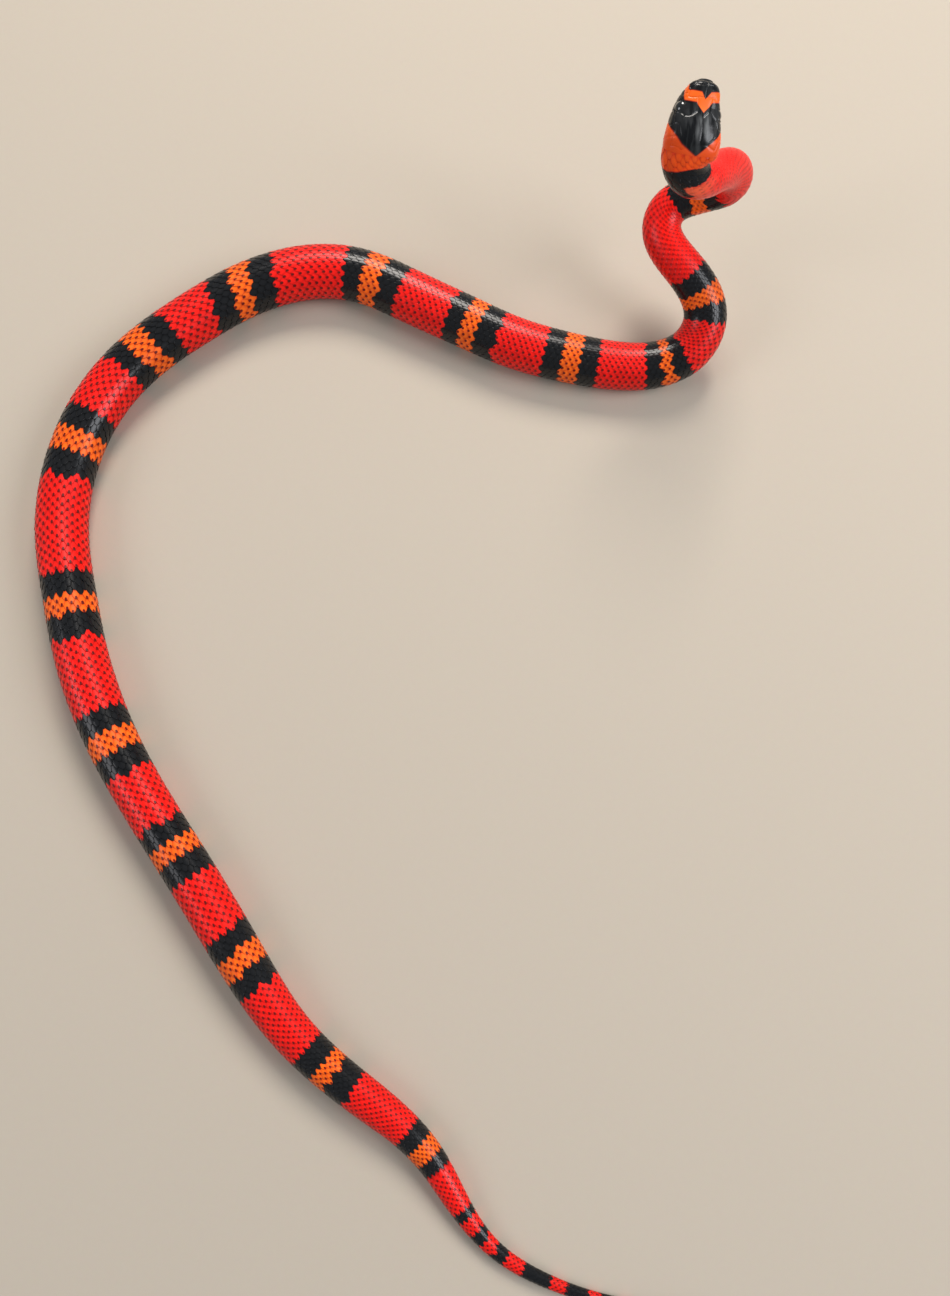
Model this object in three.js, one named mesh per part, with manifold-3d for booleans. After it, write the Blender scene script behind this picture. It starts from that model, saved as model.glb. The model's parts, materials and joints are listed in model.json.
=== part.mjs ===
// Milk snake, life-size museum model in the pose of the photograph.
// Millimetres. +X is the picture's right, +Y runs up the picture towards the head end, +Z is up, the floor is Z = 0.
// The whole body is one swept shape: a centreline through named stations, a girth along it, and a section that is
// flattened at the belly. It is cut crosswise into head, neck, trunk and tail lengths.
import * as THREE from "three";
import { mergeVertices } from "three/addons/utils/BufferGeometryUtils.js";
import Module from "manifold-3d";

const wasm = await Module();
wasm.setup();
const { Manifold, Mesh } = wasm;

// Driving dimensions
const CUT = 0.3; // gap between one length of the body and the next
const SIDES = 18; // facets round the body
const AXIS_HEIGHT = 0.43; // height of the centreline above the belly, as a share of the width
const BACK_HEIGHT = 0.94; // height of the back above the centreline, as a share of the half-width
const EYE_RADIUS = 2.4;
const EYE_CLEARANCE = 0.15;
const EYE_FROM_SNOUT = 11.6;
const EYE_ABOVE_AXIS = 0.95;
const EYE_INSET = 2.35; // from the widest line of the head in to the centre of the eye
const JAW_START = 1.2; // the lower jaw begins behind the tip of the snout
const MOUTH_END = 19.5; // corner of the jaws, from the snout
const BEND_LIMIT = 0.88; // the inner flank stays within this share of the radius of a bend

// Stations of the centreline, from the snout tailward: x, y, how far the belly is lifted off the floor, and the
// direction in which the back faces.
const RAISED_STATIONS = [
  // head, straight
  [102, 183.5, 93, 0.2, 0, 1],
  [100.5, 178.5, 88, 0.2, 0, 1],
  [99.3, 174, 85, 0.2, 0, 1],
  [98.7, 169, 82.5, 0.2, 0, 1],
  // nape and neck, turning to the snake's left and down
  [98.5, 166.5, 80, -0.1, -0.5, 0.9],
  [98, 165, 77.5, 0, -0.8, 0.6],
  [99.5, 163.5, 74, 0.7, -0.5, 0.5],
  [104, 164.5, 70.5, 0.4, 0.5, 0.8],
  [108.5, 169, 66.5, 0.2, 0.5, 0.8],
  // the hanging turn on the right
  [113.5, 174.5, 62, 0.7, 0.1, 0.7],
  [118.5, 179.5, 55.5, 0.6, -0.8, 0],
  [121.5, 180.5, 48.5, 0.5, -0.9, 0],
  [120, 181.5, 42.5, -0.2, -0.8, 0.5],
  [115.5, 183, 38.5, -0.3, -0.2, 0.9],
  // back under the neck to the bend on the left
  [111, 183.5, 35.5, -0.3, 0.1, 0.9],
  [105, 183.5, 32.5, -0.3, 0, 0.9],
  [100.5, 180, 30, -0.2, -0.2, 0.9],
  [99.5, 174, 27.5, 0, -0.3, 0.9],
  // down to the floor
  [103, 168.5, 25, 0.1, -0.3, 0.9],
  [108, 164, 22.5, 0.1, -0.3, 0.9],
  [113, 160, 19, 0.1, -0.3, 0.9],
  [117, 155, 15.5, 0, -0.3, 0.9],
  [119, 149.5, 11, 0.1, -0.1, 1],
  [117, 143.5, 7, 0, 0, 1],
  [112.5, 139, 4, 0, 0, 1],
  [106, 136.5, 2, 0, 0, 1],
  [98, 135, 0.5, 0, 0, 1],
];
// Stations on the floor: x, y.
const FLOOR_STATIONS = [
  // away to the left
  [84.5, 135.5], [65.5, 139.5], [47.5, 144.5], [29, 154], [10, 163], [-10.5, 174], [-31.5, 174.5], [-52.5, 168],
  // round the left side
  [-72, 155.5], [-93.5, 139.5], [-108, 120.5], [-116.5, 97.5], [-118.5, 71.5], [-112.5, 46.5], [-106.5, 21],
  // back to the right, as far as the vent
  [-93.5, -7.5], [-79, -30], [-64, -51], [-48, -75.5], [-31, -101.5], [-11.5, -118], [9.5, -132],
  // tail
  [20.5, -144], [28, -157.5], [39, -172], [56.5, -181], [74, -186.5], [92, -189], [111.5, -188.5],
];

// Full width of the body at a distance from the snout.
const GIRTH = [
  [0, 1.2], [0.2, 2.6], [0.5, 3.9], [1.3, 5.9], [3, 8.9], [7.5, 12.5], [12, 14.7], [16, 16.2], [20, 17.1], [23.5, 16.8],
  [27, 15.2], [35, 13.2], [45, 12.6], [70, 12.8], [85, 13.3], [105, 13.9], [125, 14.8], [145, 16.2],
  [168, 17.4], [220, 19], [305, 20], [345, 19.6], [435, 18.6], [505, 18.4], [555, 17.2], [603, 16.9],
  [625, 16], [645, 14.5], [660, 13.7], [683, 12.9], [697, 11.6], [710, 10.2], [722, 8.7], [731, 7.3],
  [740, 6], [750, 5.1], [767, 4.2], [785, 3.4], [805, 2.4], [822, 1.2],
];
// Height of the back above the centreline and of the belly below it, as shares of the half-width.
const BACK_SHARE = [[0, 0.66], [4, 0.62], [12, 0.6], [20, 0.6], [30, 0.76], [55, BACK_HEIGHT]];
const BELLY_SHARE = [[0, 0.5], [4, 0.56], [12, 0.6], [20, 0.62], [30, 0.74], [55, 2 * AXIS_HEIGHT]];
const BELLY_FLAT = 0.14; // how much of the section's height the flat of the belly cuts away
// Squareness of the section: 2 is an ellipse, more is boxier, as over the crown of the head.
const SQUARENESS = [[0, 2.2], [6, 2.6], [18, 2.5], [32, 2]];
// How much the centreline of the snout rises above the straight line of the head.
const SNOUT_RISE = [[0, 1.4], [0.5, 0.9], [1.3, 0.4], [3, 0.1], [5, 0]];
// How far the sections of the snout lean forward at the top, as a share of the height, so that the snout is blunt.
const SNOUT_LEAN = [[0, 0.42], [3, 0.42], [6, 0.25], [9.5, 0]];
// Mouth line below the centreline of the head.
const MOUTH_DROP = [[0, 0.5], [3, 1.5], [8, 2.2], [13, 2.5], [MOUTH_END, 1.6]];

// Where one length ends and the next begins, from the snout.
const NECK_END = 36;
const VENT = 713;
const TRUNK_CUTS = [NECK_END, 57, 80, 118, 165, 255, 345, 435, 525, 615, VENT];
const TAIL_CUT = 768;

// Spacing of the rings: the turn of the body from one to the next, and the nearest and farthest they stand.
const RING_TURN = 0.34;
const RING_SPACING = { near: 2.2, far: 6 };
const NECK_SPACING = { near: 1.6, far: 3 };
const HEAD_RINGS = [0, 0.5, 1.2, 2.2, 3.5, 5.2, 7, 9, 11, 13, 15, 17.2, MOUTH_END - CUT / 2];
const CROWN_SIDES = 17;
const CHIN_SIDES = 9;
const EYE_SEGMENTS = 16;
const RUN_STEPS = 60; // steps between two stations when the centreline is measured
const STRAIGHT = 1e-6; // bends gentler than this count as straight

// Colours of the photograph.
const RED = 0xe22a1f;
const BLACK = 0x15181c;
const ORANGE = 0xe8501f;

// Measures along the body

// Smooth curve through [place, value] keys that never swings past a key.
function measure(keys, s) {
  const last = keys.length - 1;
  const x = THREE.MathUtils.clamp(s, keys[0][0], keys[last][0]);
  const span = (j) => keys[j + 1][0] - keys[j][0];
  const slope = (j) => (keys[j + 1][1] - keys[j][1]) / span(j);
  const tangent = (j) => {
    if (j === 0) return slope(0);
    if (j === last) return slope(last - 1);
    const before = slope(j - 1);
    const after = slope(j);
    if (before * after <= 0) return 0;
    const h0 = span(j - 1);
    const h1 = span(j);
    return (3 * (h0 + h1)) / ((2 * h1 + h0) / before + (h1 + 2 * h0) / after);
  };
  let i = 0;
  while (i < last - 1 && keys[i + 1][0] <= x) i++;
  const h = span(i);
  const f = (x - keys[i][0]) / h;
  const f2 = f * f;
  const f3 = f2 * f;
  return (
    (2 * f3 - 3 * f2 + 1) * keys[i][1] +
    (f3 - 2 * f2 + f) * h * tangent(i) +
    (3 * f2 - 2 * f3) * keys[i + 1][1] +
    (f3 - f2) * h * tangent(i + 1)
  );
}

// A row of vectors as a uniform cubic B-spline, each end carried on in a straight line.
class BodyCurve extends THREE.Curve {
  constructor(knots) {
    super();
    this.knots = knots;
  }

  knot(k) {
    const last = this.knots.length - 1;
    if (k < 0) return this.knots[0].clone().multiplyScalar(2).sub(this.knots[1]);
    if (k > last) return this.knots[last].clone().multiplyScalar(2).sub(this.knots[last - 1]);
    return this.knots[k];
  }

  getPoint(t, target = new THREE.Vector3()) {
    const last = this.knots.length - 1;
    const i = Math.min(Math.floor(t * last), last - 1);
    const f = t * last - i;
    const weights = [(1 - f) ** 3, 3 * f ** 3 - 6 * f ** 2 + 4, -3 * f ** 3 + 3 * f ** 2 + 3 * f + 1, f ** 3];
    target.set(0, 0, 0);
    weights.forEach((weight, k) => target.addScaledVector(this.knot(i - 1 + k), weight / 6));
    return target;
  }
}

const ALL_STATIONS = [...RAISED_STATIONS, ...FLOOR_STATIONS.map(([x, y]) => [x, y, 0, 0, 0, 1])];
const CENTRELINE = new BodyCurve(ALL_STATIONS.map(([x, y, lift]) => new THREE.Vector3(x, y, lift)));
const BACK_DIRECTION = new BodyCurve(ALL_STATIONS.map((row) => new THREE.Vector3(...row.slice(3))));
CENTRELINE.arcLengthDivisions = RUN_STEPS * (ALL_STATIONS.length - 1);
const LENGTH = CENTRELINE.getLength();
const SLOPE_STEP = 0.5; // half-length over which direction and bend are measured

// Frame of the body at a distance from the snout: centre, up and left directions of the section, and the bend as a
// vector that points to its inner side and measures one over its radius.
function frameAt(s) {
  const share = (at) => CENTRELINE.getUtoTmapping(THREE.MathUtils.clamp(at / LENGTH, 0, 1));
  const here = share(s);
  const centre = CENTRELINE.getPoint(here);
  const ahead = CENTRELINE.getPoint(share(Math.max(s, SLOPE_STEP) - SLOPE_STEP));
  const behind = CENTRELINE.getPoint(share(Math.min(s, LENGTH - SLOPE_STEP) + SLOPE_STEP));
  const forward = ahead.clone().sub(behind).normalize();
  const back = BACK_DIRECTION.getPoint(here);
  back.addScaledVector(forward, -back.dot(forward)).normalize();
  const left = back.clone().cross(forward);
  const bend = ahead.add(behind).addScaledVector(centre, -2).divideScalar(SLOPE_STEP ** 2);
  bend.addScaledVector(forward, -bend.dot(forward));
  centre.z += AXIS_HEIGHT * measure(GIRTH, s) + measure(SNOUT_RISE, s);
  const up = back.clone().addScaledVector(forward, measure(SNOUT_LEAN, s));
  return { centre, up, left, bend };
}

// Outline of the body at an angle from the back, positive to the left, as [left, up] from the centreline.
function sectionPoint(s, angle) {
  const half = measure(GIRTH, s) / 2;
  const power = 2 / measure(SQUARENESS, s);
  const squared = (v) => Math.sign(v) * Math.abs(v) ** power;
  const belly = measure(BELLY_SHARE, s);
  const c = squared(Math.cos(angle));
  const up = c > 0 ? c * measure(BACK_SHARE, s) : Math.max(c * (belly + BELLY_FLAT), -belly);
  return [half * squared(Math.sin(angle)), half * up];
}

// Places a section point, with the inner flank of a tight bend kept out of the bend's centre.
function place(frame, [left, up]) {
  const offset = frame.left.clone().multiplyScalar(left).addScaledVector(frame.up, up);
  const curvature = frame.bend.length();
  if (curvature > 0) {
    const inward = frame.bend.clone().divideScalar(curvature);
    const excess = offset.dot(inward) - BEND_LIMIT / curvature;
    if (excess > 0) offset.addScaledVector(inward, -excess);
  }
  return frame.centre.clone().add(offset);
}

// Solids

// Closed solid over a row of rings with the same number of points, each end closed by a fan.
function loft(rings) {
  const n = rings[0].length;
  const points = rings.flat();
  const index = [];
  for (let i = 0; i < rings.length - 1; i++)
    for (let j = 0; j < n; j++) {
      const a = i * n + j;
      const b = i * n + ((j + 1) % n);
      index.push(a, b + n, a + n, a, b, b + n);
    }
  const fan = (ring, first, order) => {
    const middle = points.push(ring.reduce((sum, p) => sum.add(p), new THREE.Vector3()).divideScalar(n)) - 1;
    for (let j = 0; j < n; j++) index.push(middle, ...order(first + j, first + ((j + 1) % n)));
  };
  fan(rings[0], 0, (a, b) => [b, a]);
  fan(rings[rings.length - 1], (rings.length - 1) * n, (a, b) => [a, b]);
  const geometry = new THREE.BufferGeometry().setFromPoints(points);
  geometry.setIndex(index);
  return geometry;
}

// Places from start to end, standing closer where the body bends.
function ringPlaces(start, end, { near, far }) {
  const places = [start];
  while (places[places.length - 1] < end) {
    const s = places[places.length - 1];
    places.push(s + THREE.MathUtils.clamp(RING_TURN / Math.max(frameAt(s).bend.length(), STRAIGHT), near, far));
  }
  const stretch = (end - start) / (places[places.length - 1] - start);
  return places.map((s) => start + (s - start) * stretch);
}

// Angles at even steps over an arc of the section.
const arc = (from, to, steps) => Array.from({ length: steps + 1 }, (_, j) => from + ((to - from) * j) / steps);
const HALF_SIDE = Math.PI / SIDES;
const ROUND = arc(HALF_SIDE, 2 * Math.PI - HALF_SIDE, SIDES - 1);

// One length of the body between two places, less half a cut at each end.
function bodyLength(start, end, spacing = RING_SPACING) {
  const last = Math.min(end - CUT / 2, LENGTH);
  return loft(
    ringPlaces(start + CUT / 2, last, spacing).map((s) => {
      const frame = frameAt(s);
      return ROUND.map((angle) => place(frame, sectionPoint(s, angle)));
    }),
  );
}

// Angle from the back at which the outline of the head comes down by a drop below the centreline.
const ANGLE_STEP = 1e-6;
function angleAtDrop(s, drop) {
  let [low, high] = [Math.PI / 2, Math.PI];
  while (high - low > ANGLE_STEP) {
    const middle = (low + high) / 2;
    if (-sectionPoint(s, middle)[1] < drop) low = middle;
    else high = middle;
  }
  return low;
}

// Head above the mouth line.
function upperHead() {
  return loft(
    HEAD_RINGS.map((s) => {
      const frame = frameAt(s);
      const edge = angleAtDrop(s, measure(MOUTH_DROP, s));
      return arc(-edge, edge, CROWN_SIDES).map((angle) => place(frame, sectionPoint(s, angle)));
    }),
  );
}

// Lower jaw, one thin cut below the mouth line.
function lowerJaw() {
  const places = [JAW_START, ...HEAD_RINGS.filter((s) => s > JAW_START)];
  return loft(
    places.map((s) => {
      const frame = frameAt(s);
      const edge = angleAtDrop(s, measure(MOUTH_DROP, s) + CUT);
      return arc(edge, 2 * Math.PI - edge, CHIN_SIDES).map((angle) => place(frame, sectionPoint(s, angle)));
    }),
  );
}

// Centre of an eye, side +1 for the left and -1 for the right.
function eyeCentre(side) {
  const out = measure(GIRTH, EYE_FROM_SNOUT) / 2 - EYE_INSET;
  return place(frameAt(EYE_FROM_SNOUT), [side * out, EYE_ABOVE_AXIS]);
}

const ball = (radius) => new THREE.SphereGeometry(radius, EYE_SEGMENTS, EYE_SEGMENTS / 2);

// From a geometry to a solid that can be cut, and back

function toSolid(geometry) {
  geometry.deleteAttribute("normal");
  geometry.deleteAttribute("uv");
  const merged = mergeVertices(geometry);
  return new Manifold(
    new Mesh({
      numProp: 3,
      vertProperties: merged.getAttribute("position").array,
      triVerts: new Uint32Array(merged.index.array),
    }),
  );
}

function toGeometry(solid) {
  const mesh = solid.getMesh();
  const geometry = new THREE.BufferGeometry();
  geometry.setAttribute("position", new THREE.BufferAttribute(mesh.vertProperties, 3));
  geometry.setIndex(new THREE.BufferAttribute(mesh.triVerts, 1));
  return geometry;
}

// The animal
const model = new THREE.Group();
model.name = "milk_snake";

const SCALE_ROUGHNESS = 0.35;
const EYE_ROUGHNESS = 0.08;
const scaled = (color) => new THREE.MeshStandardMaterial({ color, roughness: SCALE_ROUGHNESS, metalness: 0 });
const EYE_GLOSS = new THREE.MeshStandardMaterial({ color: BLACK, roughness: EYE_ROUGHNESS, metalness: 0 });

function add(name, geometry, material) {
  geometry.computeVertexNormals();
  const mesh = new THREE.Mesh(geometry, material);
  mesh.name = name;
  model.add(mesh);
  return mesh;
}

let head = toSolid(upperHead());
for (const [name, side] of [["eye_left", 1], ["eye_right", -1]]) {
  const centre = eyeCentre(side);
  const socket = ball(EYE_RADIUS + EYE_CLEARANCE).translate(centre.x, centre.y, centre.z);
  head = head.subtract(toSolid(socket));
  add(name, ball(EYE_RADIUS), EYE_GLOSS).position.copy(centre);
}
add("head", toGeometry(head), scaled(BLACK));
add("lower_jaw", lowerJaw(), scaled(ORANGE));
add("neck", bodyLength(MOUTH_END, NECK_END, NECK_SPACING), scaled(ORANGE));
TRUNK_CUTS.slice(1).forEach((end, i) => add(`trunk_${i + 1}`, bodyLength(TRUNK_CUTS[i], end), scaled(RED)));
add("tail_1", bodyLength(VENT, TAIL_CUT), scaled(RED));
add("tail_2", bodyLength(TAIL_CUT, Infinity), scaled(RED));

export default model;
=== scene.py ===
"""Milk snake, life-size still model: skin, scales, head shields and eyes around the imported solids.

Lengths in the tables are millimetres, as a maker would measure them on the animal, and MM turns them to
metres. A place on the body is given by s, the distance from the snout along the centreline, and f, the
share of the half girth from the middle of the back, positive to the snake's left: 0 is the back and 1 the
middle of the belly.
"""
from __future__ import annotations

import json
import logging
import math
from dataclasses import dataclass, fields
from enum import Enum
from typing import Callable

import bmesh
import bpy
import numpy as np
from mathutils import Matrix, Vector

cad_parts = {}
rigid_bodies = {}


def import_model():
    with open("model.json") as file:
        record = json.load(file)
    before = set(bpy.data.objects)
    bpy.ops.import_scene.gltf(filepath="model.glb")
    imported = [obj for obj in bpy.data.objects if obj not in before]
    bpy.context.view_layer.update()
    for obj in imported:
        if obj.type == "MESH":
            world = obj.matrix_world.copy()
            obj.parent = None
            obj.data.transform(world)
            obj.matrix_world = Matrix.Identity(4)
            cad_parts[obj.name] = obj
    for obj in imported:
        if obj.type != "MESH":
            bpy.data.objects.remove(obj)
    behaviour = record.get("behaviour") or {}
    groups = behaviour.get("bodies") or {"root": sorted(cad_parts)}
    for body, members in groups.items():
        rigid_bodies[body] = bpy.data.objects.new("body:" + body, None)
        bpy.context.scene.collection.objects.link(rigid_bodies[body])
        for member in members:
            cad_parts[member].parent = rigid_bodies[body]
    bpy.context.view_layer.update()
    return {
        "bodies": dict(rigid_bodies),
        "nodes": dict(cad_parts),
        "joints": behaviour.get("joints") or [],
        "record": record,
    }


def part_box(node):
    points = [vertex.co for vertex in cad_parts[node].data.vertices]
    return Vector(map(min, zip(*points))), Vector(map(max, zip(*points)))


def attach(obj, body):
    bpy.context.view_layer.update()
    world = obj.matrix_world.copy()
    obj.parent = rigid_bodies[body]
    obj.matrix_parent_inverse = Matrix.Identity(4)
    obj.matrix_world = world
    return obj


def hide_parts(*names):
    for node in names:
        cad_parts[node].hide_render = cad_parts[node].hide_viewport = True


LOG = logging.getLogger("milk_snake")
MM = 0.001
Array = np.ndarray
# Rows of (place, value), or of (value, slope), in rising order.
Keys = tuple[tuple[float, float], ...]

# A table is read inside its last cell, whose number is its length less this.
LAST_CELL = 1.001
# Shortest vector that still has a direction.
TINY = 1e-12
# Share of the half girth from which a place counts as lying on the middle line of the belly.
BELLY_LINE = 0.9999
# Distance within which the two edges of a rolled tube are welded there.
SEAM_WELD = 0.02

# Stations from the snout: x, y, lift of the belly off the floor, and where the back faces.
RAISED_STATIONS = (
    (102, 183.5, 93, 0.2, 0, 1),
    (100.5, 178.5, 88, 0.2, 0, 1),
    (99.3, 174, 85, 0.2, 0, 1),
    (98.7, 169, 82.5, 0.2, 0, 1),
    (98.5, 166.5, 80, -0.1, -0.5, 0.9),
    (98, 165, 77.5, 0, -0.8, 0.6),
    (99.5, 163.5, 74, 0.7, -0.5, 0.5),
    (104, 164.5, 70.5, 0.4, 0.5, 0.8),
    (108.5, 169, 66.5, 0.2, 0.5, 0.8),
    (113.5, 174.5, 62, 0.7, 0.1, 0.7),
    (118.5, 179.5, 55.5, 0.6, -0.8, 0),
    (121.5, 180.5, 48.5, 0.5, -0.9, 0),
    (120, 181.5, 42.5, -0.2, -0.8, 0.5),
    (115.5, 183, 38.5, -0.3, -0.2, 0.9),
    (111, 183.5, 35.5, -0.3, 0.1, 0.9),
    (105, 183.5, 32.5, -0.3, 0, 0.9),
    (100.5, 180, 30, -0.2, -0.2, 0.9),
    (99.5, 174, 27.5, 0, -0.3, 0.9),
    (103, 168.5, 25, 0.1, -0.3, 0.9),
    (108, 164, 22.5, 0.1, -0.3, 0.9),
    (113, 160, 19, 0.1, -0.3, 0.9),
    (117, 155, 15.5, 0, -0.3, 0.9),
    (119, 149.5, 11, 0.1, -0.1, 1),
    (117, 143.5, 7, 0, 0, 1),
    (112.5, 139, 4, 0, 0, 1),
    (106, 136.5, 2, 0, 0, 1),
    (98, 135, 0.5, 0, 0, 1),
)
# Stations on the floor: x, y.
FLOOR_STATIONS = (
    (84.5, 135.5), (65.5, 139.5), (47.5, 144.5), (29, 154), (10, 163), (-10.5, 174), (-31.5, 174.5),
    (-52.5, 168), (-72, 155.5), (-93.5, 139.5), (-108, 120.5), (-116.5, 97.5), (-118.5, 71.5),
    (-112.5, 46.5), (-106.5, 21), (-93.5, -7.5), (-79, -30), (-64, -51), (-48, -75.5), (-31, -101.5),
    (-11.5, -118), (9.5, -132), (20.5, -144), (28, -157.5), (39, -172), (56.5, -181), (74, -186.5),
    (92, -189), (111.5, -188.5),
)
# Full width of the body at a distance from the snout.
GIRTH = (
    (0, 1.2), (0.2, 2.6), (0.5, 3.9), (1.3, 5.9), (3, 8.9), (7.5, 12.5), (12, 14.7), (16, 16.2),
    (20, 17.1), (23.5, 16.8), (27, 15.2), (35, 13.2), (45, 12.6), (70, 12.8), (85, 13.3), (105, 13.9),
    (125, 14.8), (145, 16.2), (168, 17.4), (220, 19), (305, 20), (345, 19.6), (435, 18.6), (505, 18.4),
    (555, 17.2), (603, 16.9), (625, 16), (645, 14.5), (660, 13.7), (683, 12.9), (697, 11.6), (710, 10.2),
    (722, 8.7), (731, 7.3), (740, 6), (750, 5.1), (767, 4.2), (785, 3.4), (805, 2.4), (822, 1.2),
)
# Height of the centreline over the belly's lowest line, as a share of the width.
AXIS_HEIGHT = 0.43
# Height of the back over the centreline, and depth of the belly under it, as shares of the half width.
BACK_SHARE = ((0, 0.66), (4, 0.62), (12, 0.6), (20, 0.6), (30, 0.76), (55, 0.94))
BELLY_SHARE = ((0, 0.5), (4, 0.56), (12, 0.6), (20, 0.62), (30, 0.74), (55, 2 * AXIS_HEIGHT))
# How much of a round belly the flat of the belly cuts off.
BELLY_FLAT = 0.14
# How far the snout's own line lifts over the centreline, and how far its sections lean forward.
SNOUT_RISE = ((0, 1.4), (0.5, 0.9), (1.3, 0.4), (3, 0.1), (5, 0))
SNOUT_LEAN = ((0, 0.42), (3, 0.42), (6, 0.25), (9.5, 0))
# How square the section is: 2 is an oval.
SQUARENESS = ((0, 2.2), (6, 2.6), (18, 2.5), (32, 2))
# Depth of the mouth line under the centreline.
MOUTH_DROP = ((0, 0.5), (3, 1.5), (8, 2.2), (13, 2.5), (19.5, 1.6))
# Share of the bend's radius that the inner side of a bend may take up.
BEND_LIMIT = 0.88


def measure(keys: Keys, s: Array) -> Array:
    """Smooth curve through (place, value) keys that never swings past a key.

    Args:
        keys: Rows of place and value, in rising order of place.
        s: Places to read the curve at.

    Returns:
        The values at those places, the end values beyond the keys.
    """
    x, y = np.array(keys, float).T
    h = np.diff(x)
    slope = np.diff(y) / h
    tangent = np.empty_like(x)
    tangent[0], tangent[-1] = slope[0], slope[-1]
    before, after = slope[:-1], slope[1:]
    same = before * after > 0
    with np.errstate(divide="ignore", invalid="ignore"):
        mean = 3 * (h[:-1] + h[1:]) / ((2 * h[1:] + h[:-1]) / before + (h[1:] + 2 * h[:-1]) / after)
    tangent[1:-1] = np.where(same, mean, 0)
    at = np.clip(s, x[0], x[-1])
    i = np.clip(np.searchsorted(x, at, side="right") - 1, 0, len(h) - 1)
    f = (at - x[i]) / h[i]
    f2, f3 = f * f, f * f * f
    return (
        (2 * f3 - 3 * f2 + 1) * y[i]
        + (f3 - 2 * f2 + f) * h[i] * tangent[i]
        + (3 * f2 - 2 * f3) * y[i + 1]
        + (f3 - f2) * h[i] * tangent[i + 1]
    )


def spline(knots: Array, t: Array) -> Array:
    """Uniform cubic B-spline over rows of knots, each end carried on in a straight line.

    Args:
        knots: One row for each station.
        t: Places counted in stations.

    Returns:
        One row for each place.
    """
    rows = np.vstack([2 * knots[0] - knots[1], knots, 2 * knots[-1] - knots[-2]])
    i = np.clip(t.astype(int), 0, len(knots) - 2)
    f = (t - i)[:, None]
    weights = ((1 - f) ** 3, 3 * f**3 - 6 * f**2 + 4, -3 * f**3 + 3 * f**2 + 3 * f + 1, f**3)
    return sum(w * rows[i + k] for k, w in enumerate(weights)) / 6


def unit(vectors: Array) -> Array:
    """Vectors in rows, each made one long."""
    return vectors / np.maximum(np.linalg.norm(vectors, axis=-1, keepdims=True), TINY)


def smooth_step(x: Array, low: float, high: float) -> Array:
    """Rises smoothly from 0 at low to 1 at high."""
    t = np.clip((x - low) / (high - low), 0, 1)
    return t * t * (3 - 2 * t)


def bump(*squares: Array) -> Array:
    """Round bump, one high at its middle, from distances already divided by its spread."""
    return np.exp(-sum(square**2 for square in squares))


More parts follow.
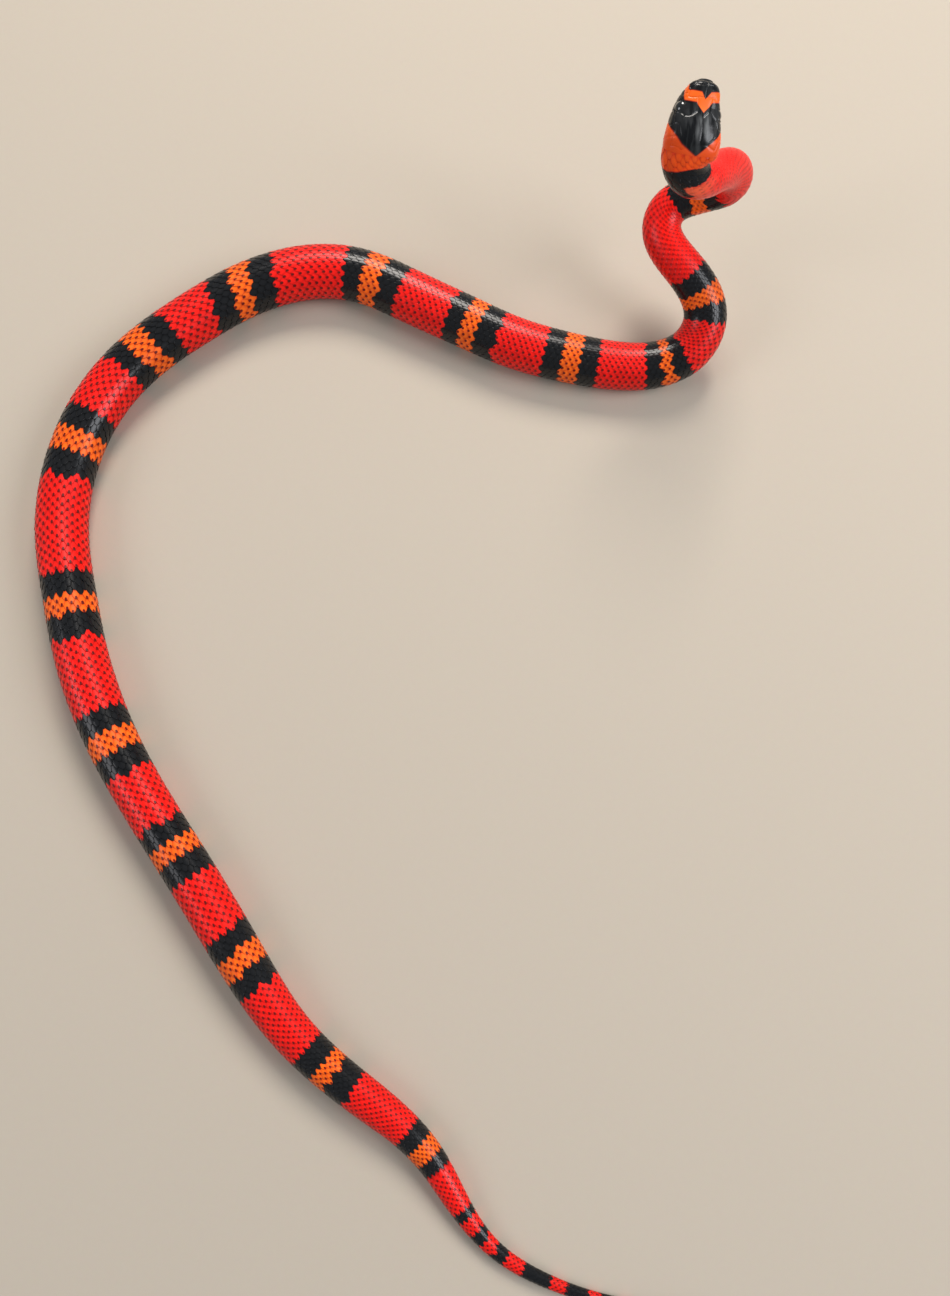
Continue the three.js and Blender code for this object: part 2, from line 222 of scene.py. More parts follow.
@dataclass
class Body:
    """The animal's outer form: a centreline, a girth along it and a section, in millimetres.

    Attributes:
        step: Spacing of the table of frames along the centreline.
        slope_step: Half-length over which direction and bend are measured.
        samples: Places between two stations at which the line's length is measured.
        table_step: Spacing of the table of angles along the centreline.
        angles: Places round a section at which its outline is measured.
        shares: Shares of the half girth in the table of angles.
        belly_soft: Reach of the soft edge round the flat of the belly, as a share of the half width.
        head_end: End of the head, behind the corners of the mouth.
        reach: Half-length along the body over which the surface's lie is measured.
        turn: Half-width of the same, as a share of the half girth.
        least_relief: Least share of the relief that is left where a bend crowds the surface.
        end_margin: Distance before the very tip at which the surface stops.
    """

    step: float = 0.1
    slope_step: float = 0.5
    samples: int = 60
    table_step: float = 2.0
    angles: int = 181
    shares: int = 121
    belly_soft: float = 0.08
    head_end: float = 28.0
    reach: float = 0.15
    turn: float = 0.004
    least_relief: float = 0.35
    end_margin: float = 0.05

    def __post_init__(self) -> None:
        """Works out the table of frames and the table from share of girth to angle."""
        raised = np.array(RAISED_STATIONS, float)
        floor = np.array([(x, y, 0, 0, 0, 1) for x, y in FLOOR_STATIONS], float)
        knots = np.vstack([raised, floor])
        spans = len(knots) - 1
        fine = np.linspace(0, spans, self.samples * spans + 1)
        run = spline(knots[:, :3], fine)
        travelled = np.concatenate([[0], np.cumsum(np.linalg.norm(np.diff(run, axis=0), axis=1))])
        self.length = float(travelled[-1])
        self.s = np.arange(0, self.length, self.step)

        def line_at(s: Array) -> Array:
            """The line's place and the back's direction at distances from the snout."""
            return spline(knots, np.interp(s, travelled, fine))

        row = line_at(self.s)
        ahead = line_at(np.maximum(self.s, self.slope_step) - self.slope_step)[:, :3]
        behind = line_at(np.minimum(self.s, self.length - self.slope_step) + self.slope_step)[:, :3]
        forward = unit(ahead - behind)
        back = unit(row[:, 3:] - (row[:, 3:] * forward).sum(1)[:, None] * forward)
        bend = (ahead + behind - 2 * row[:, :3]) / self.slope_step**2
        bend -= (bend * forward).sum(1)[:, None] * forward
        self.width = measure(GIRTH, self.s)
        centre = row[:, :3].copy()
        centre[:, 2] += AXIS_HEIGHT * self.width + measure(SNOUT_RISE, self.s)
        up = back + forward * measure(SNOUT_LEAN, self.s)[:, None]
        self.frames = np.hstack([centre, up, np.cross(back, forward), bend, forward])
        self._share_table()

    def _section(self, s: Array, angle: Array) -> tuple[Array, Array]:
        """Outline of the section at an angle from the back, as (left, up) from the centreline."""
        half = measure(GIRTH, s) / 2
        power = 2 / measure(SQUARENESS, s)
        belly = measure(BELLY_SHARE, s)
        sine, cosine = np.sin(angle), np.cos(angle)
        across = np.sign(sine) * np.abs(sine) ** power
        along = np.sign(cosine) * np.abs(cosine) ** power
        low = along * (belly + BELLY_FLAT)
        overlap = np.maximum(self.belly_soft - np.abs(low + belly), 0)
        low = np.maximum(low, -belly) + overlap**2 / (4 * self.belly_soft)
        up = np.where(along > 0, along * measure(BACK_SHARE, s), np.minimum(low, 0))
        return half * across, half * up

    def _share_table(self) -> None:
        """Table of the section's angle at each share of the half girth, and the half girth itself."""
        self.table_s = np.arange(0, self.length, self.table_step)
        angle = np.linspace(0, math.pi, self.angles)
        share = np.linspace(0, 1, self.shares)
        self.angle_table = np.empty((len(self.table_s), self.shares))
        self.half_girth_table = np.empty(len(self.table_s))
        for i, s in enumerate(self.table_s):
            left, up = self._section(np.full_like(angle, s), angle)
            arc = np.concatenate([[0], np.cumsum(np.hypot(np.diff(left), np.diff(up)))])
            self.half_girth_table[i] = arc[-1]
            self.angle_table[i] = np.interp(share * arc[-1], arc, angle)

    def half_girth(self, s: Array) -> Array:
        """Half of the girth at a distance from the snout."""
        return np.interp(s, self.table_s, self.half_girth_table)

    def width_at(self, s: Array) -> Array:
        """Full width of the body at a distance from the snout."""
        return np.interp(s, self.s, self.width)

    def from_mouth(self, s: Array, f: Array) -> Array:
        """Distance over the surface below the mouth line, negative above it."""
        places = self.table_s[self.table_s < self.head_end]
        share = np.linspace(0, 1, self.shares)
        line = []
        for place, angles in zip(places, self.angle_table):
            up = self._section(np.full_like(angles, place), angles)[1]
            drop = measure(MOUTH_DROP, np.array([place]))[0]
            line.append(np.interp(drop, -up, share))
        return (np.abs(f) - np.interp(s, places, line)) * self.half_girth(s)

    def _angle(self, s: Array, f: Array) -> Array:
        """Angle of the section at a share of the half girth, read between the rows of the table."""
        rows = np.clip(s / self.table_step, 0, len(self.table_s) - LAST_CELL)
        columns = np.clip(np.abs(f) * (self.shares - 1), 0, self.shares - LAST_CELL)
        i, j = rows.astype(int), columns.astype(int)
        a, b = rows - i, columns - j
        t = self.angle_table
        low = t[i, j] * (1 - b) + t[i, j + 1] * b
        high = t[i + 1, j] * (1 - b) + t[i + 1, j + 1] * b
        return np.sign(f) * (low * (1 - a) + high * a)

    def _on_body(self, s: Array, f: Array) -> Array:
        """Places on the body's own surface."""
        at = np.clip(s / self.step, 0, len(self.s) - LAST_CELL)
        i = at.astype(int)
        part = (at - i)[:, None]
        frame = self.frames[i] * (1 - part) + self.frames[i + 1] * part
        left, up = self._section(s, self._angle(s, f))
        offset = left[:, None] * frame[:, 6:9] + up[:, None] * frame[:, 3:6]
        bend = frame[:, 9:12]
        curvature = np.maximum(np.linalg.norm(bend, axis=1), TINY)
        inward = bend / curvature[:, None]
        excess = np.maximum((offset * inward).sum(1) - BEND_LIMIT / curvature, 0)
        return frame[:, 0:3] + offset - excess[:, None] * inward

    def surface(self, s: Array, f: Array, h: Array, follow_stretch: bool = False) -> Array:
        """Places at a height over the body's surface.

        Args:
            s: Distances from the snout.
            f: Shares of the half girth from the back.
            h: Heights over the surface, negative inside it.
            follow_stretch: Lowers the relief where a bend crowds the surface together.

        Returns:
            One row of x, y, z in millimetres for each place.
        """
        f = (np.asarray(f, float) + 1) % 2 - 1
        end = self.length - self.end_margin
        s = np.clip(s, 0, end)
        here = self._on_body(s, f)
        along = self._on_body(np.minimum(s + self.reach, end), f)
        along -= self._on_body(np.maximum(s - self.reach, 0), f)
        inner = np.clip(f, -1 + self.turn, 1 - self.turn)
        around = self._on_body(s, inner + self.turn) - self._on_body(s, inner - self.turn)
        normal = unit(np.cross(around, along))
        if follow_stretch:
            h = h * np.clip(np.linalg.norm(along, axis=1) / (2 * self.reach), self.least_relief, 1)
        return here + normal * np.asarray(h)[:, None]


@dataclass(frozen=True)
class Triad:
    """One black, orange and black group of rings.

    Attributes:
        edges: Where the first black ring begins, the orange, the second black, and the red again.
        slant: How much nearer the tail the edges lie on the right flank than on the left.
    """

    edges: tuple[float, float, float, float]
    slant: float = 0.0


@dataclass(frozen=True)
class HeadPattern:
    """Black snout, orange band with its point, pointed black crown, black cheeks and orange jaw.

    A slanted edge is made of lines, each its place on the pattern's middle line and its slope to the side.
    A pair of numbers is where a change begins and where it ends.

    Attributes:
        shift: How far the pattern's middle line strays to the right for each millimetre from the snout.
        turn: Share of the distance to the side that counts as length in the pattern.
        edge: Half width of the soft edges.
        snout: Rear edge of the black of the snout.
        snout_side: Place, slope and start of its side edge.
        band: Rear edge of the orange band.
        crown: Rear edge of the black crown.
        cheek_side: Place, slope and end of the upper edge of the black cheek.
        cheek_rear: Rear edge of the black cheek.
        cheek_front: Front edge of the black cheek.
        jaw: Edge between the lips.
        chin: Rear edge of the black chin.
        lips: Darkness, width and end of the dark line between the lips.
        reddening: Where the orange of the cheeks turns to the redder orange of the nape.
        sheen: Place of the crown's painted grey sheen, a painted reflection, and its spread along and
            across.
    """

    shift: float = 0.06
    turn: float = 0.15
    edge: float = 0.25
    snout: Keys = ((7.7, -1.4), (5.9, -0.14))
    snout_side: tuple[float, float, float] = (5.5, 0.16, 5)
    band: Keys = ((11.8, -1.4), (8.8, -0.12))
    crown: Keys = ((22.3, -0.55), (23.6, -0.8))
    cheek_side: tuple[float, float, float] = (6.2, 0.45, 8)
    cheek_rear: tuple[float, float] = (12, 13)
    cheek_front: tuple[float, float] = (2.5, 3)
    jaw: tuple[float, float] = (-0.1, 0.1)
    chin: tuple[float, float] = (3.2, 3.6)
    lips: tuple[float, float, float] = (0.9, 0.14, 19.5)
    reddening: tuple[float, float] = (14, 20)
    sheen: tuple[float, float, float] = (15.5, 4.5, 3.0)

    def place(self, s: Array, across: Array) -> tuple[Array, Array]:
        """Place in the pattern, whose middle line runs a little askew of the body's.

        Args:
            s: Distances from the snout.
            across: Distances over the surface from the middle of the back, positive to the left.

        Returns:
            Distances from the snout, and from the pattern's middle line.
        """
        off = across + self.shift * s
        return s - self.turn * off, off

    def crown_sheen(self, along: Array, off: Array) -> Array:
        """How much painted grey sheen, a painted reflection, the crown has at places in the pattern."""
        middle, long, wide = self.sheen
        return bump((along - middle) / long, off / wide)

    def _past(self, x: Array, edge: Array) -> Array:
        """Rises from 0 to 1 over the soft edge."""
        return smooth_step(x, edge - self.edge, edge + self.edge)

    def tones(
        self, s: Array, along: Array, across: Array, from_mouth: Array, nape: float
    ) -> tuple[Array, Array]:
        """Tone of the head at each place.

        Args:
            s: Distances from the snout.
            along: Distances from the snout in the pattern.
            across: Distances over the surface from the pattern's middle line, without sign.
            from_mouth: Distances over the surface below the mouth line, negative above it.
            nape: Share of orange on the nape.

        Returns:
            Two arrays from 0 to 1: orange, and black.
        """
        snout, band, crown = (
            pick.reduce([at + slope * across for at, slope in lines])
            for pick, lines in ((np.maximum, self.snout), (np.maximum, self.band), (np.minimum, self.crown))
        )
        side, slope, start = self.snout_side
        in_snout = (1 - self._past(along, snout)) * (1 - self._past(across, side + slope * (start - along)))
        in_crown = self._past(along, band) * (1 - self._past(along, crown))
        side, slope, end = self.cheek_side
        cheek = self._past(across, side + slope * np.maximum(end - along, 0))
        cheek *= (1 - smooth_step(along, *self.cheek_rear)) * smooth_step(s, *self.cheek_front)
        upper = np.clip(in_snout + in_crown + cheek, 0, 1)
        below = smooth_step(from_mouth, *self.jaw)
        black = upper * (1 - below) + (1 - smooth_step(s, *self.chin)) * below
        dark, width, end = self.lips
        black = np.maximum(black, dark * bump(from_mouth / width) * (s < end))
        redder = (1 - nape) * smooth_step(s, *self.reddening)
        return (1 - redder) * (1 - black), black


@dataclass(frozen=True)
class Markings:
    """The animal's rings and head pattern, shared by the skin, the shields and the scales.

    A pair of numbers is where a change begins and where it ends, in s or, round the body, in f.

    Attributes:
        triads: The groups of rings from the neck to the vent.
        slant_reach: Share of the half girth over which a slanted ring leans.
        tail_blacks: Start and end of each black ring of the tail.
        head: The head's pattern.
        ring: Start and end of the neck's black ring on the back.
        ring_edge: Half width of its soft edges.
        ring_back: How much farther back it starts on the right side.
        ring_left: Where it ends low on the left side.
        ring_under: How much farther back than that it ends under the neck.
        right_flank: Where the right side of the neck begins.
        left_flank: Where the low left side of the neck begins.
        under_neck: Where the underside of the neck begins.
        nape_orange: Share of orange behind the crown, the rest being red.
        strip_orange: Share of orange in the strip behind the neck ring.
        strip_fade: Where that orange fades out.
        strip_pale: How far the strip has paled.
        strip_side: Where the strip begins on the left side.
        strip_start: Where the strip's paleness begins.
        strip_end: Where the strip's paleness fades out.
        belly_pale: Where the ground colour pales towards the belly.
        belly_start: Where the throat's paleness begins.
        spot_steps: How much darker the spots get, and where.
        spot_least: How dark the spots are on the nape.
        spot_flank: Where the spots fade out above the belly.
    """

    triads: tuple[Triad, ...] = (
        Triad((72.8, 78.9, 84.7, 92.3), 1.5),
        Triad((120, 127.3, 132.8, 139), 1.5),
        Triad((153.8, 159, 163.3, 169)),
        Triad((186.7, 193.5, 199.7, 206.8)),
        Triad((224.7, 232.2, 238.2, 245.1)),
        Triad((265.5, 273.5, 281, 289)),
        Triad((316.5, 325.7, 333.5, 342.1), 5.5),
        Triad((361.3, 368.8, 377, 384.9), -2),
        Triad((405.3, 413.5, 422.4, 431.5)),
        Triad((468, 476.7, 484, 492.5)),
        Triad((521, 529.3, 536.3, 545)),
        Triad((565.7, 573.2, 579.3, 587.2)),
        Triad((609, 616, 623.5, 630.5), -2.5),
        Triad((656, 663, 668.3, 676.3)),
        Triad((698.5, 704.5, 709.5, 714.5)),
    )
    slant_reach: float = 0.5
    tail_blacks: Keys = (
        (729, 732.5), (737.5, 741), (745.5, 750.5), (757, 766.5), (772, 779), (783.5, 790), (794, 830),
    )
    head: HeadPattern = HeadPattern()
    ring: tuple[float, float] = (25.0, 32.5)
    ring_edge: float = 0.3
    ring_back: float = 1.4
    ring_left: float = 27.9
    ring_under: float = 2.5
    right_flank: tuple[float, float] = (-0.05, 0.2)
    left_flank: tuple[float, float] = (0.04, 0.3)
    under_neck: tuple[float, float] = (0.33, 0.46)
    nape_orange: float = 0.6
    strip_orange: float = 0.35
    strip_fade: tuple[float, float] = (29, 34)
    strip_pale: float = 0.6
    strip_side: tuple[float, float] = (0.1, 0.3)
    strip_start: tuple[float, float] = (25, 27)
    strip_end: tuple[float, float] = (31, 37)
    belly_pale: tuple[float, float] = (0.66, 0.8)
    belly_start: tuple[float, float] = (19, 26)
    spot_least: float = 0.1
    spot_steps: tuple[tuple[float, float, float], ...] = ((0.35, 26, 32), (0.15, 66, 72), (0.4, 115, 140))
    spot_flank: tuple[float, float] = (0.62, 0.74)

    def tones(self, body: Body, s: Array, f: Array) -> tuple[Array, Array]:
        """Tone of any place on the animal, as two arrays from 0 to 1: orange, and black."""
        orange, black = self.rings(s, f)
        along, off = self.head.place(s, f * body.half_girth(s))
        from_mouth = body.from_mouth(s, f)
        head_orange, head_black = self.head.tones(s, along, np.abs(off), from_mouth, self.nape_orange)
        on_head = s < self.ring[0] - 1
        return np.where(on_head, head_orange, orange), np.where(on_head, head_black, black)

    def pale(self, body: Body, s: Array, f: Array) -> Array:
        """How far the ground colour pales towards the belly, and how much painted sheen the crown has."""
        belly = smooth_step(np.abs(f), *self.belly_pale) * smooth_step(s, *self.belly_start)
        strip = self.strip_pale * smooth_step(f, *self.strip_side)
        strip *= smooth_step(s, *self.strip_start) * (1 - smooth_step(s, *self.strip_end))
        # The crown's painted sheen shares this channel with the paleness.
        sheen = self.head.crown_sheen(*self.head.place(s, f * body.half_girth(s)))
        return np.clip(belly + strip + sheen, 0, 1)

    def spots(self, s: Array, f: Array) -> Array:
        """How dark the spots at the scales' tips are: faint on the nape, soft in front, none low down."""
        strength = self.spot_least + sum(step * smooth_step(s, *reach) for step, *reach in self.spot_steps)
        return strength * (1 - smooth_step(np.abs(f), *self.spot_flank))

    def rings(self, s: Array, f: Array) -> tuple[Array, Array]:
        """Tone of the body behind the head at each place.

        Args:
            s: Distances from the snout.
            f: Shares of the half girth.

        Returns:
            Two arrays from 0 to 1: orange, and black.
        """
        orange = np.zeros_like(s)
        black = np.zeros_like(s)
        lean = np.clip(f / self.slant_reach, -1, 1)
        for triad in self.triads:
            at = s + triad.slant / 2 * lean
            first, middle, second, end = triad.edges
            orange += (at >= middle) & (at < second)
            black += ((at >= first) & (at < middle)) | ((at >= second) & (at < end))
        for first, end in self.tail_blacks:
            black += (s >= first) & (s < end)
        # the neck ring is shorter low on the left side, with an orange strip behind it
        low_left = smooth_step(f, *self.left_flank)
        start = self.ring[0] + self.ring_back * smooth_step(-f, *self.right_flank)
        end = self.ring[1] + (self.ring_left - self.ring[1]) * low_left
        end += self.ring_under * smooth_step(f, *self.under_neck)
        edge = self.ring_edge
        in_ring = smooth_step(s, start - edge, start + edge) * (1 - smooth_step(s, end - edge, end + edge))
        orange += self.nape_orange * (s < start + edge)
        orange += self.strip_orange * low_left * (1 - smooth_step(s, *self.strip_fade)) * (s >= end)
        return np.clip(orange, 0, 1) * (1 - in_ring), np.clip(black + in_ring, 0, 1)


def linear(hexadecimal: str) -> tuple[float, float, float, float]:
    """Turns an sRGB colour written as hexadecimal digits to linear light, with full alpha."""
    values = [int(hexadecimal[i : i + 2], 16) / 255 for i in (0, 2, 4)]
    return (*[v / 12.92 if v <= 0.04045 else ((v + 0.055) / 1.055) ** 2.4 for v in values], 1.0)


# The kinds of node used most, and the sockets of a Mix node that is set to colour.
MATH = "ShaderNodeMath"
MIX = "ShaderNodeMix"
NOISE = "ShaderNodeTexNoise"
SHARE, FIRST, SECOND = 0, 6, 7
MIXED = 2


def add_node(
    tree: bpy.types.NodeTree, kind: str, inputs: dict, output: int | str = 0, **settings: object
) -> bpy.types.NodeSocket:
    """Adds a node with its settings and its input values or links.

    Args:
        tree: The material's node tree.
        kind: The node's type name.
        inputs: Socket name or number to a value, or to an output socket to link.
        output: Name or number of the output that is wanted.
        settings: Properties of the node.

    Returns:
        That output socket of the new node.
    """
    node = tree.nodes.new(kind)
    if kind == MIX:
        node.data_type = "RGBA"
    for name, value in settings.items():
        setattr(node, name, value)
    for name, value in inputs.items():
        if isinstance(value, bpy.types.NodeSocket):
            tree.links.new(value, node.inputs[name])
        else:
            node.inputs[name].default_value = value
    return node.outputs[output]


def new_material(name: str) -> tuple[bpy.types.Material, bpy.types.NodeTree, bpy.types.Node]:
    """A material with its node tree and its one shader."""
    material = bpy.data.materials.new(name)
    material.use_nodes = True
    tree = material.node_tree
    return material, tree, tree.nodes["Principled BSDF"]


class Drawing(Enum):
    """What the keratin of a piece shows besides its ground colour."""

    PLAIN = "one tone over each scale"
    # Also paints a grey sheen in the middle of each black scale.
    SPOTTED = "a deeper rim and a dark spot at the rear tip of each scale"
    # Painted reflection: grey streaks along the crown, drawn into its colour.
    STREAKED = "grey streaks along the crown"


@dataclass(frozen=True)
class Oval:
    """An oval on the middle line of a scale, in shares of its length and width."""

    along: float
    half_width: float
    half_length: float


@dataclass(frozen=True)
class ScaleKeratin:
    """Snake scale: thin clear keratin over pigment, shed and renewed, so smooth and softly glossy.

    The gloss is sharp enough for a small light streak on each scale. The pigment under it is saturated,
    with a dark spot at the rear tip of the red and orange ones. Each scale is drawn lightest in the middle
    and deeper towards its rim: on a black scale that grey middle is a painted sheen.

    Attributes:
        shade: Darkest shade of a scale, and how much lighter another may be.
        crispness: How many times sharper than the facets the edges of the black are drawn.
        bare: The bare part of a scale, lightest in the middle.
        bare_reach: Squared distance from its middle, in its own size, at which the rim's tone is full.
        bare_fall: Power by which the painted grey sheen of a black scale deepens to black at the rim.
        spot: The dark spot at the rear tip.
        spot_edge: How steeply the spot ends.
        streak_size: Width and length of the painted reflection streaks in millimetres.
        streak_gain: Noise at which a painted reflection streak begins, and how fast it brightens.
        streak_least: Strength of the painted streaks away from the sheen, and the rise in it.
        grain: Width of the unevenness in millimetres, its strength and its height in millimetres.
    """

    name: str
    red: str = "EE1206"
    orange: str = "F4660C"
    # black is the painted grey sheen in the middle of a black scale, black_rim the scale's own black.
    black: str = "141517"
    red_rim: str = "CE0B04"
    orange_rim: str = "DC4608"
    black_rim: str = "08090B"
    pale_red: str = "EE5844"
    pale_orange: str = "F08A50"
    dot: str = "640603"
    # Grey of the painted reflection streaks on the crown.
    streak: str = "6A6C6C"
    drawing: Drawing = Drawing.PLAIN
    roughness: float = 0.36
    black_roughness: float = 0.22
    refraction: float = 1.34
    coat: float = 0.05
    coat_roughness: float = 0.15
    shade: tuple[float, float] = (0.89, 0.22)
    crispness: float = 2.4
    bare: Oval = Oval(0.66, 0.46, 0.42)
    bare_reach: float = 1.12
    bare_fall: float = 1.5
    spot: Oval = Oval(0.86, 0.16, 0.15)
    spot_edge: float = 2.5
    streak_size: tuple[float, float] = (1.3, 7.0)
    streak_gain: tuple[float, float] = (0.38, 3.5)
    streak_least: tuple[float, float] = (0.1, 0.85)
    grain: tuple[float, float, float] = (0.6, 0.12, 0.05)

    def make(self) -> bpy.types.Material:
        """Builds the material from orange, black, paleness with painted crown sheen, and a chance shade."""
        material, tree, shader = new_material(self.name)
        pigment = add_node(tree, "ShaderNodeVertexColor", {}, "Color", layer_name="pigment")
        parts = add_node(tree, "ShaderNodeSeparateColor", {0: pigment}).node.outputs
        orange, black, pale = parts[0], parts[1], parts[2]
        ground = self._pair(tree, orange, self.red, self.orange)
        dark = linear(self.black_rim)
        # On the crown a painted reflection: grey streaks mixed into the black.
        if self.drawing is Drawing.STREAKED:
            dark = self._streaks(tree, pale)
        if self.drawing is Drawing.SPOTTED:
            sharpen = {0: black, 1: self.crispness, 2: (1 - self.crispness) / 2}
            black = add_node(tree, MATH, sharpen, operation="MULTIPLY_ADD", use_clamp=True)
            inward = {0: self.bare_reach, 1: self._oval(tree, self.bare)}
            middle = add_node(tree, MATH, inward, operation="SUBTRACT", use_clamp=True)
            rim = self._pair(tree, orange, self.red_rim, self.orange_rim)
            ground = add_node(tree, MIX, {SHARE: middle, FIRST: rim, SECOND: ground}, MIXED)
            # Black scales: a painted grey sheen in the middle that deepens to black at the rim.
            black_sheen_share = add_node(tree, MATH, {0: middle, 1: self.bare_fall}, operation="POWER")
            dark = self._pair(tree, black_sheen_share, self.black_rim, self.black)
        # Paleness towards the belly; near the crown the painted sheen in the same channel pales the orange
        # too.
        paled = self._pair(tree, orange, self.pale_red, self.pale_orange)
        colour = add_node(tree, MIX, {SHARE: pale, FIRST: ground, SECOND: paled}, MIXED)
        darkest, range_up = self.shade
        chance = {0: pigment.node.outputs["Alpha"], 1: range_up, 2: darkest}
        shade = add_node(tree, MATH, chance, operation="MULTIPLY_ADD")
        grey = add_node(tree, "ShaderNodeCombineColor", {0: shade, 1: shade, 2: shade})
        shaded = {SHARE: 1.0, FIRST: colour, SECOND: grey}
        colour = add_node(tree, MIX, shaded, MIXED, blend_type="MULTIPLY")
        if self.drawing is Drawing.SPOTTED:
            colour = self._dots(tree, colour)
        colour = add_node(tree, MIX, {SHARE: black, FIRST: colour, SECOND: dark}, MIXED)
        tree.links.new(colour, shader.inputs["Base Color"])
        smoother = {0: black, 1: self.black_roughness - self.roughness, 2: self.roughness}
        roughness = add_node(tree, MATH, smoother, operation="MULTIPLY_ADD")
        tree.links.new(roughness, shader.inputs["Roughness"])
        shader.inputs["IOR"].default_value = self.refraction
        shader.inputs["Coat Weight"].default_value = self.coat
        shader.inputs["Coat Roughness"].default_value = self.coat_roughness
        tree.links.new(self._grain(tree), shader.inputs["Normal"])
        return material

    @staticmethod
    def _pair(tree: bpy.types.NodeTree, share: object, first: str, second: str) -> bpy.types.NodeSocket:
        """A tone between two pigments."""
        return add_node(tree, MIX, {SHARE: share, FIRST: linear(first), SECOND: linear(second)}, MIXED)

    @staticmethod
    def _oval(tree: bpy.types.NodeTree, oval: Oval) -> bpy.types.NodeSocket:
        """Squared distance from the middle of an oval on the scale, one at its rim."""
        place = add_node(tree, "ShaderNodeUVMap", {}, uv_map="scale")
        parts = add_node(tree, "ShaderNodeSeparateXYZ", {0: place}).node.outputs
        sides = ((parts[0], 0.5, oval.half_width), (parts[1], oval.along, oval.half_length))
        squares = []
        for part, middle, half in sides:
            off = add_node(tree, MATH, {0: part, 1: middle}, operation="SUBTRACT")
            own = add_node(tree, MATH, {0: off, 1: 1 / half}, operation="MULTIPLY")
            squares.append(add_node(tree, MATH, {0: own, 1: own}, operation="MULTIPLY"))
        return add_node(tree, MATH, {0: squares[0], 1: squares[1]}, operation="ADD")

    def _dots(self, tree: bpy.types.NodeTree, colour: bpy.types.NodeSocket) -> bpy.types.NodeSocket:
        """Dark spot at the rear tip of each scale, as dark as the mesh's spots attribute says."""
        edge = {0: self._oval(tree, self.spot), 1: -self.spot_edge, 2: self.spot_edge + 0.5}
        inside = add_node(tree, MATH, edge, operation="MULTIPLY_ADD", use_clamp=True)
        strength = add_node(tree, "ShaderNodeAttribute", {}, "Fac", attribute_name="spots")
        share = add_node(tree, MATH, {0: inside, 1: strength}, operation="MULTIPLY")
        return add_node(tree, MIX, {SHARE: share, FIRST: colour, SECOND: linear(self.dot)}, MIXED)

    def _streaks(self, tree: bpy.types.NodeTree, sheen: bpy.types.NodeSocket) -> bpy.types.NodeSocket:
        """Painted reflection streaks on the crown, several times as long as wide, strongest in the sheen.
        """
        wide, long = (1 / (size * MM) for size in self.streak_size)
        place = add_node(tree, "ShaderNodeTexCoord", {}, "Object")
        drawn = add_node(tree, "ShaderNodeMapping", {0: place, "Scale": (wide, long, long)})
        noise = add_node(tree, NOISE, {"Vector": drawn, "Scale": 1.0, "Detail": 2.0})
        start, gain = self.streak_gain
        over = add_node(tree, MATH, {0: noise, 1: start}, operation="SUBTRACT")
        share = add_node(tree, MATH, {0: over, 1: gain}, operation="MULTIPLY", use_clamp=True)
        least, rise = self.streak_least
        strength = add_node(tree, MATH, {0: sheen, 1: rise, 2: least}, operation="MULTIPLY_ADD")
        share = add_node(tree, MATH, {0: share, 1: strength}, operation="MULTIPLY")
        return self._pair(tree, share, self.black_rim, self.streak)

    def _grain(self, tree: bpy.types.NodeTree) -> bpy.types.NodeSocket:
        """Fine unevenness of the keratin, drawn coarser than life so that it shows."""
        width, strength, height = self.grain
        place = add_node(tree, "ShaderNodeTexCoord", {}, "Object")
        noise = add_node(tree, NOISE, {"Vector": place, "Scale": 1 / (width * MM), "Detail": 2.0})
        relief = {"Height": noise, "Strength": strength, "Distance": height * MM}
        return add_node(tree, "ShaderNodeBump", relief)


@dataclass(frozen=True)
class EyeGloss:
    """Eye under its clear fixed scale: a dark brown iris, a round black pupil and a wet-looking gloss.

    Attributes:
        pupil_share: How far up the eye's own map, which ends at the front pole, the pupil begins.
        pupil_edge: How steeply it begins.
    """

    name: str = "eye_under_clear_scale"
    iris: str = "1E0D08"
    pupil: str = "040405"
    pupil_share: float = 0.72
    pupil_edge: float = 30.0
    roughness: float = 0.12
    refraction: float = 1.45
    coat: float = 1.0
    coat_roughness: float = 0.03

    def make(self) -> bpy.types.Material:
        """Builds the material, with the pupil round the pole of the eye's own map."""
        material, tree, shader = new_material(self.name)
        place = add_node(tree, "ShaderNodeUVMap", {}, uv_map="eye")
        height = add_node(tree, "ShaderNodeSeparateXYZ", {0: place}, 1)
        over = add_node(tree, MATH, {0: height, 1: self.pupil_share}, operation="SUBTRACT")
        in_pupil = add_node(tree, MATH, {0: over, 1: self.pupil_edge}, operation="MULTIPLY", use_clamp=True)
        tones = {SHARE: in_pupil, FIRST: linear(self.iris), SECOND: linear(self.pupil)}
        tree.links.new(add_node(tree, MIX, tones, MIXED), shader.inputs["Base Color"])
        shader.inputs["Roughness"].default_value = self.roughness
        shader.inputs["IOR"].default_value = self.refraction
        shader.inputs["Coat Weight"].default_value = self.coat
        shader.inputs["Coat Roughness"].default_value = self.coat_roughness
        return material


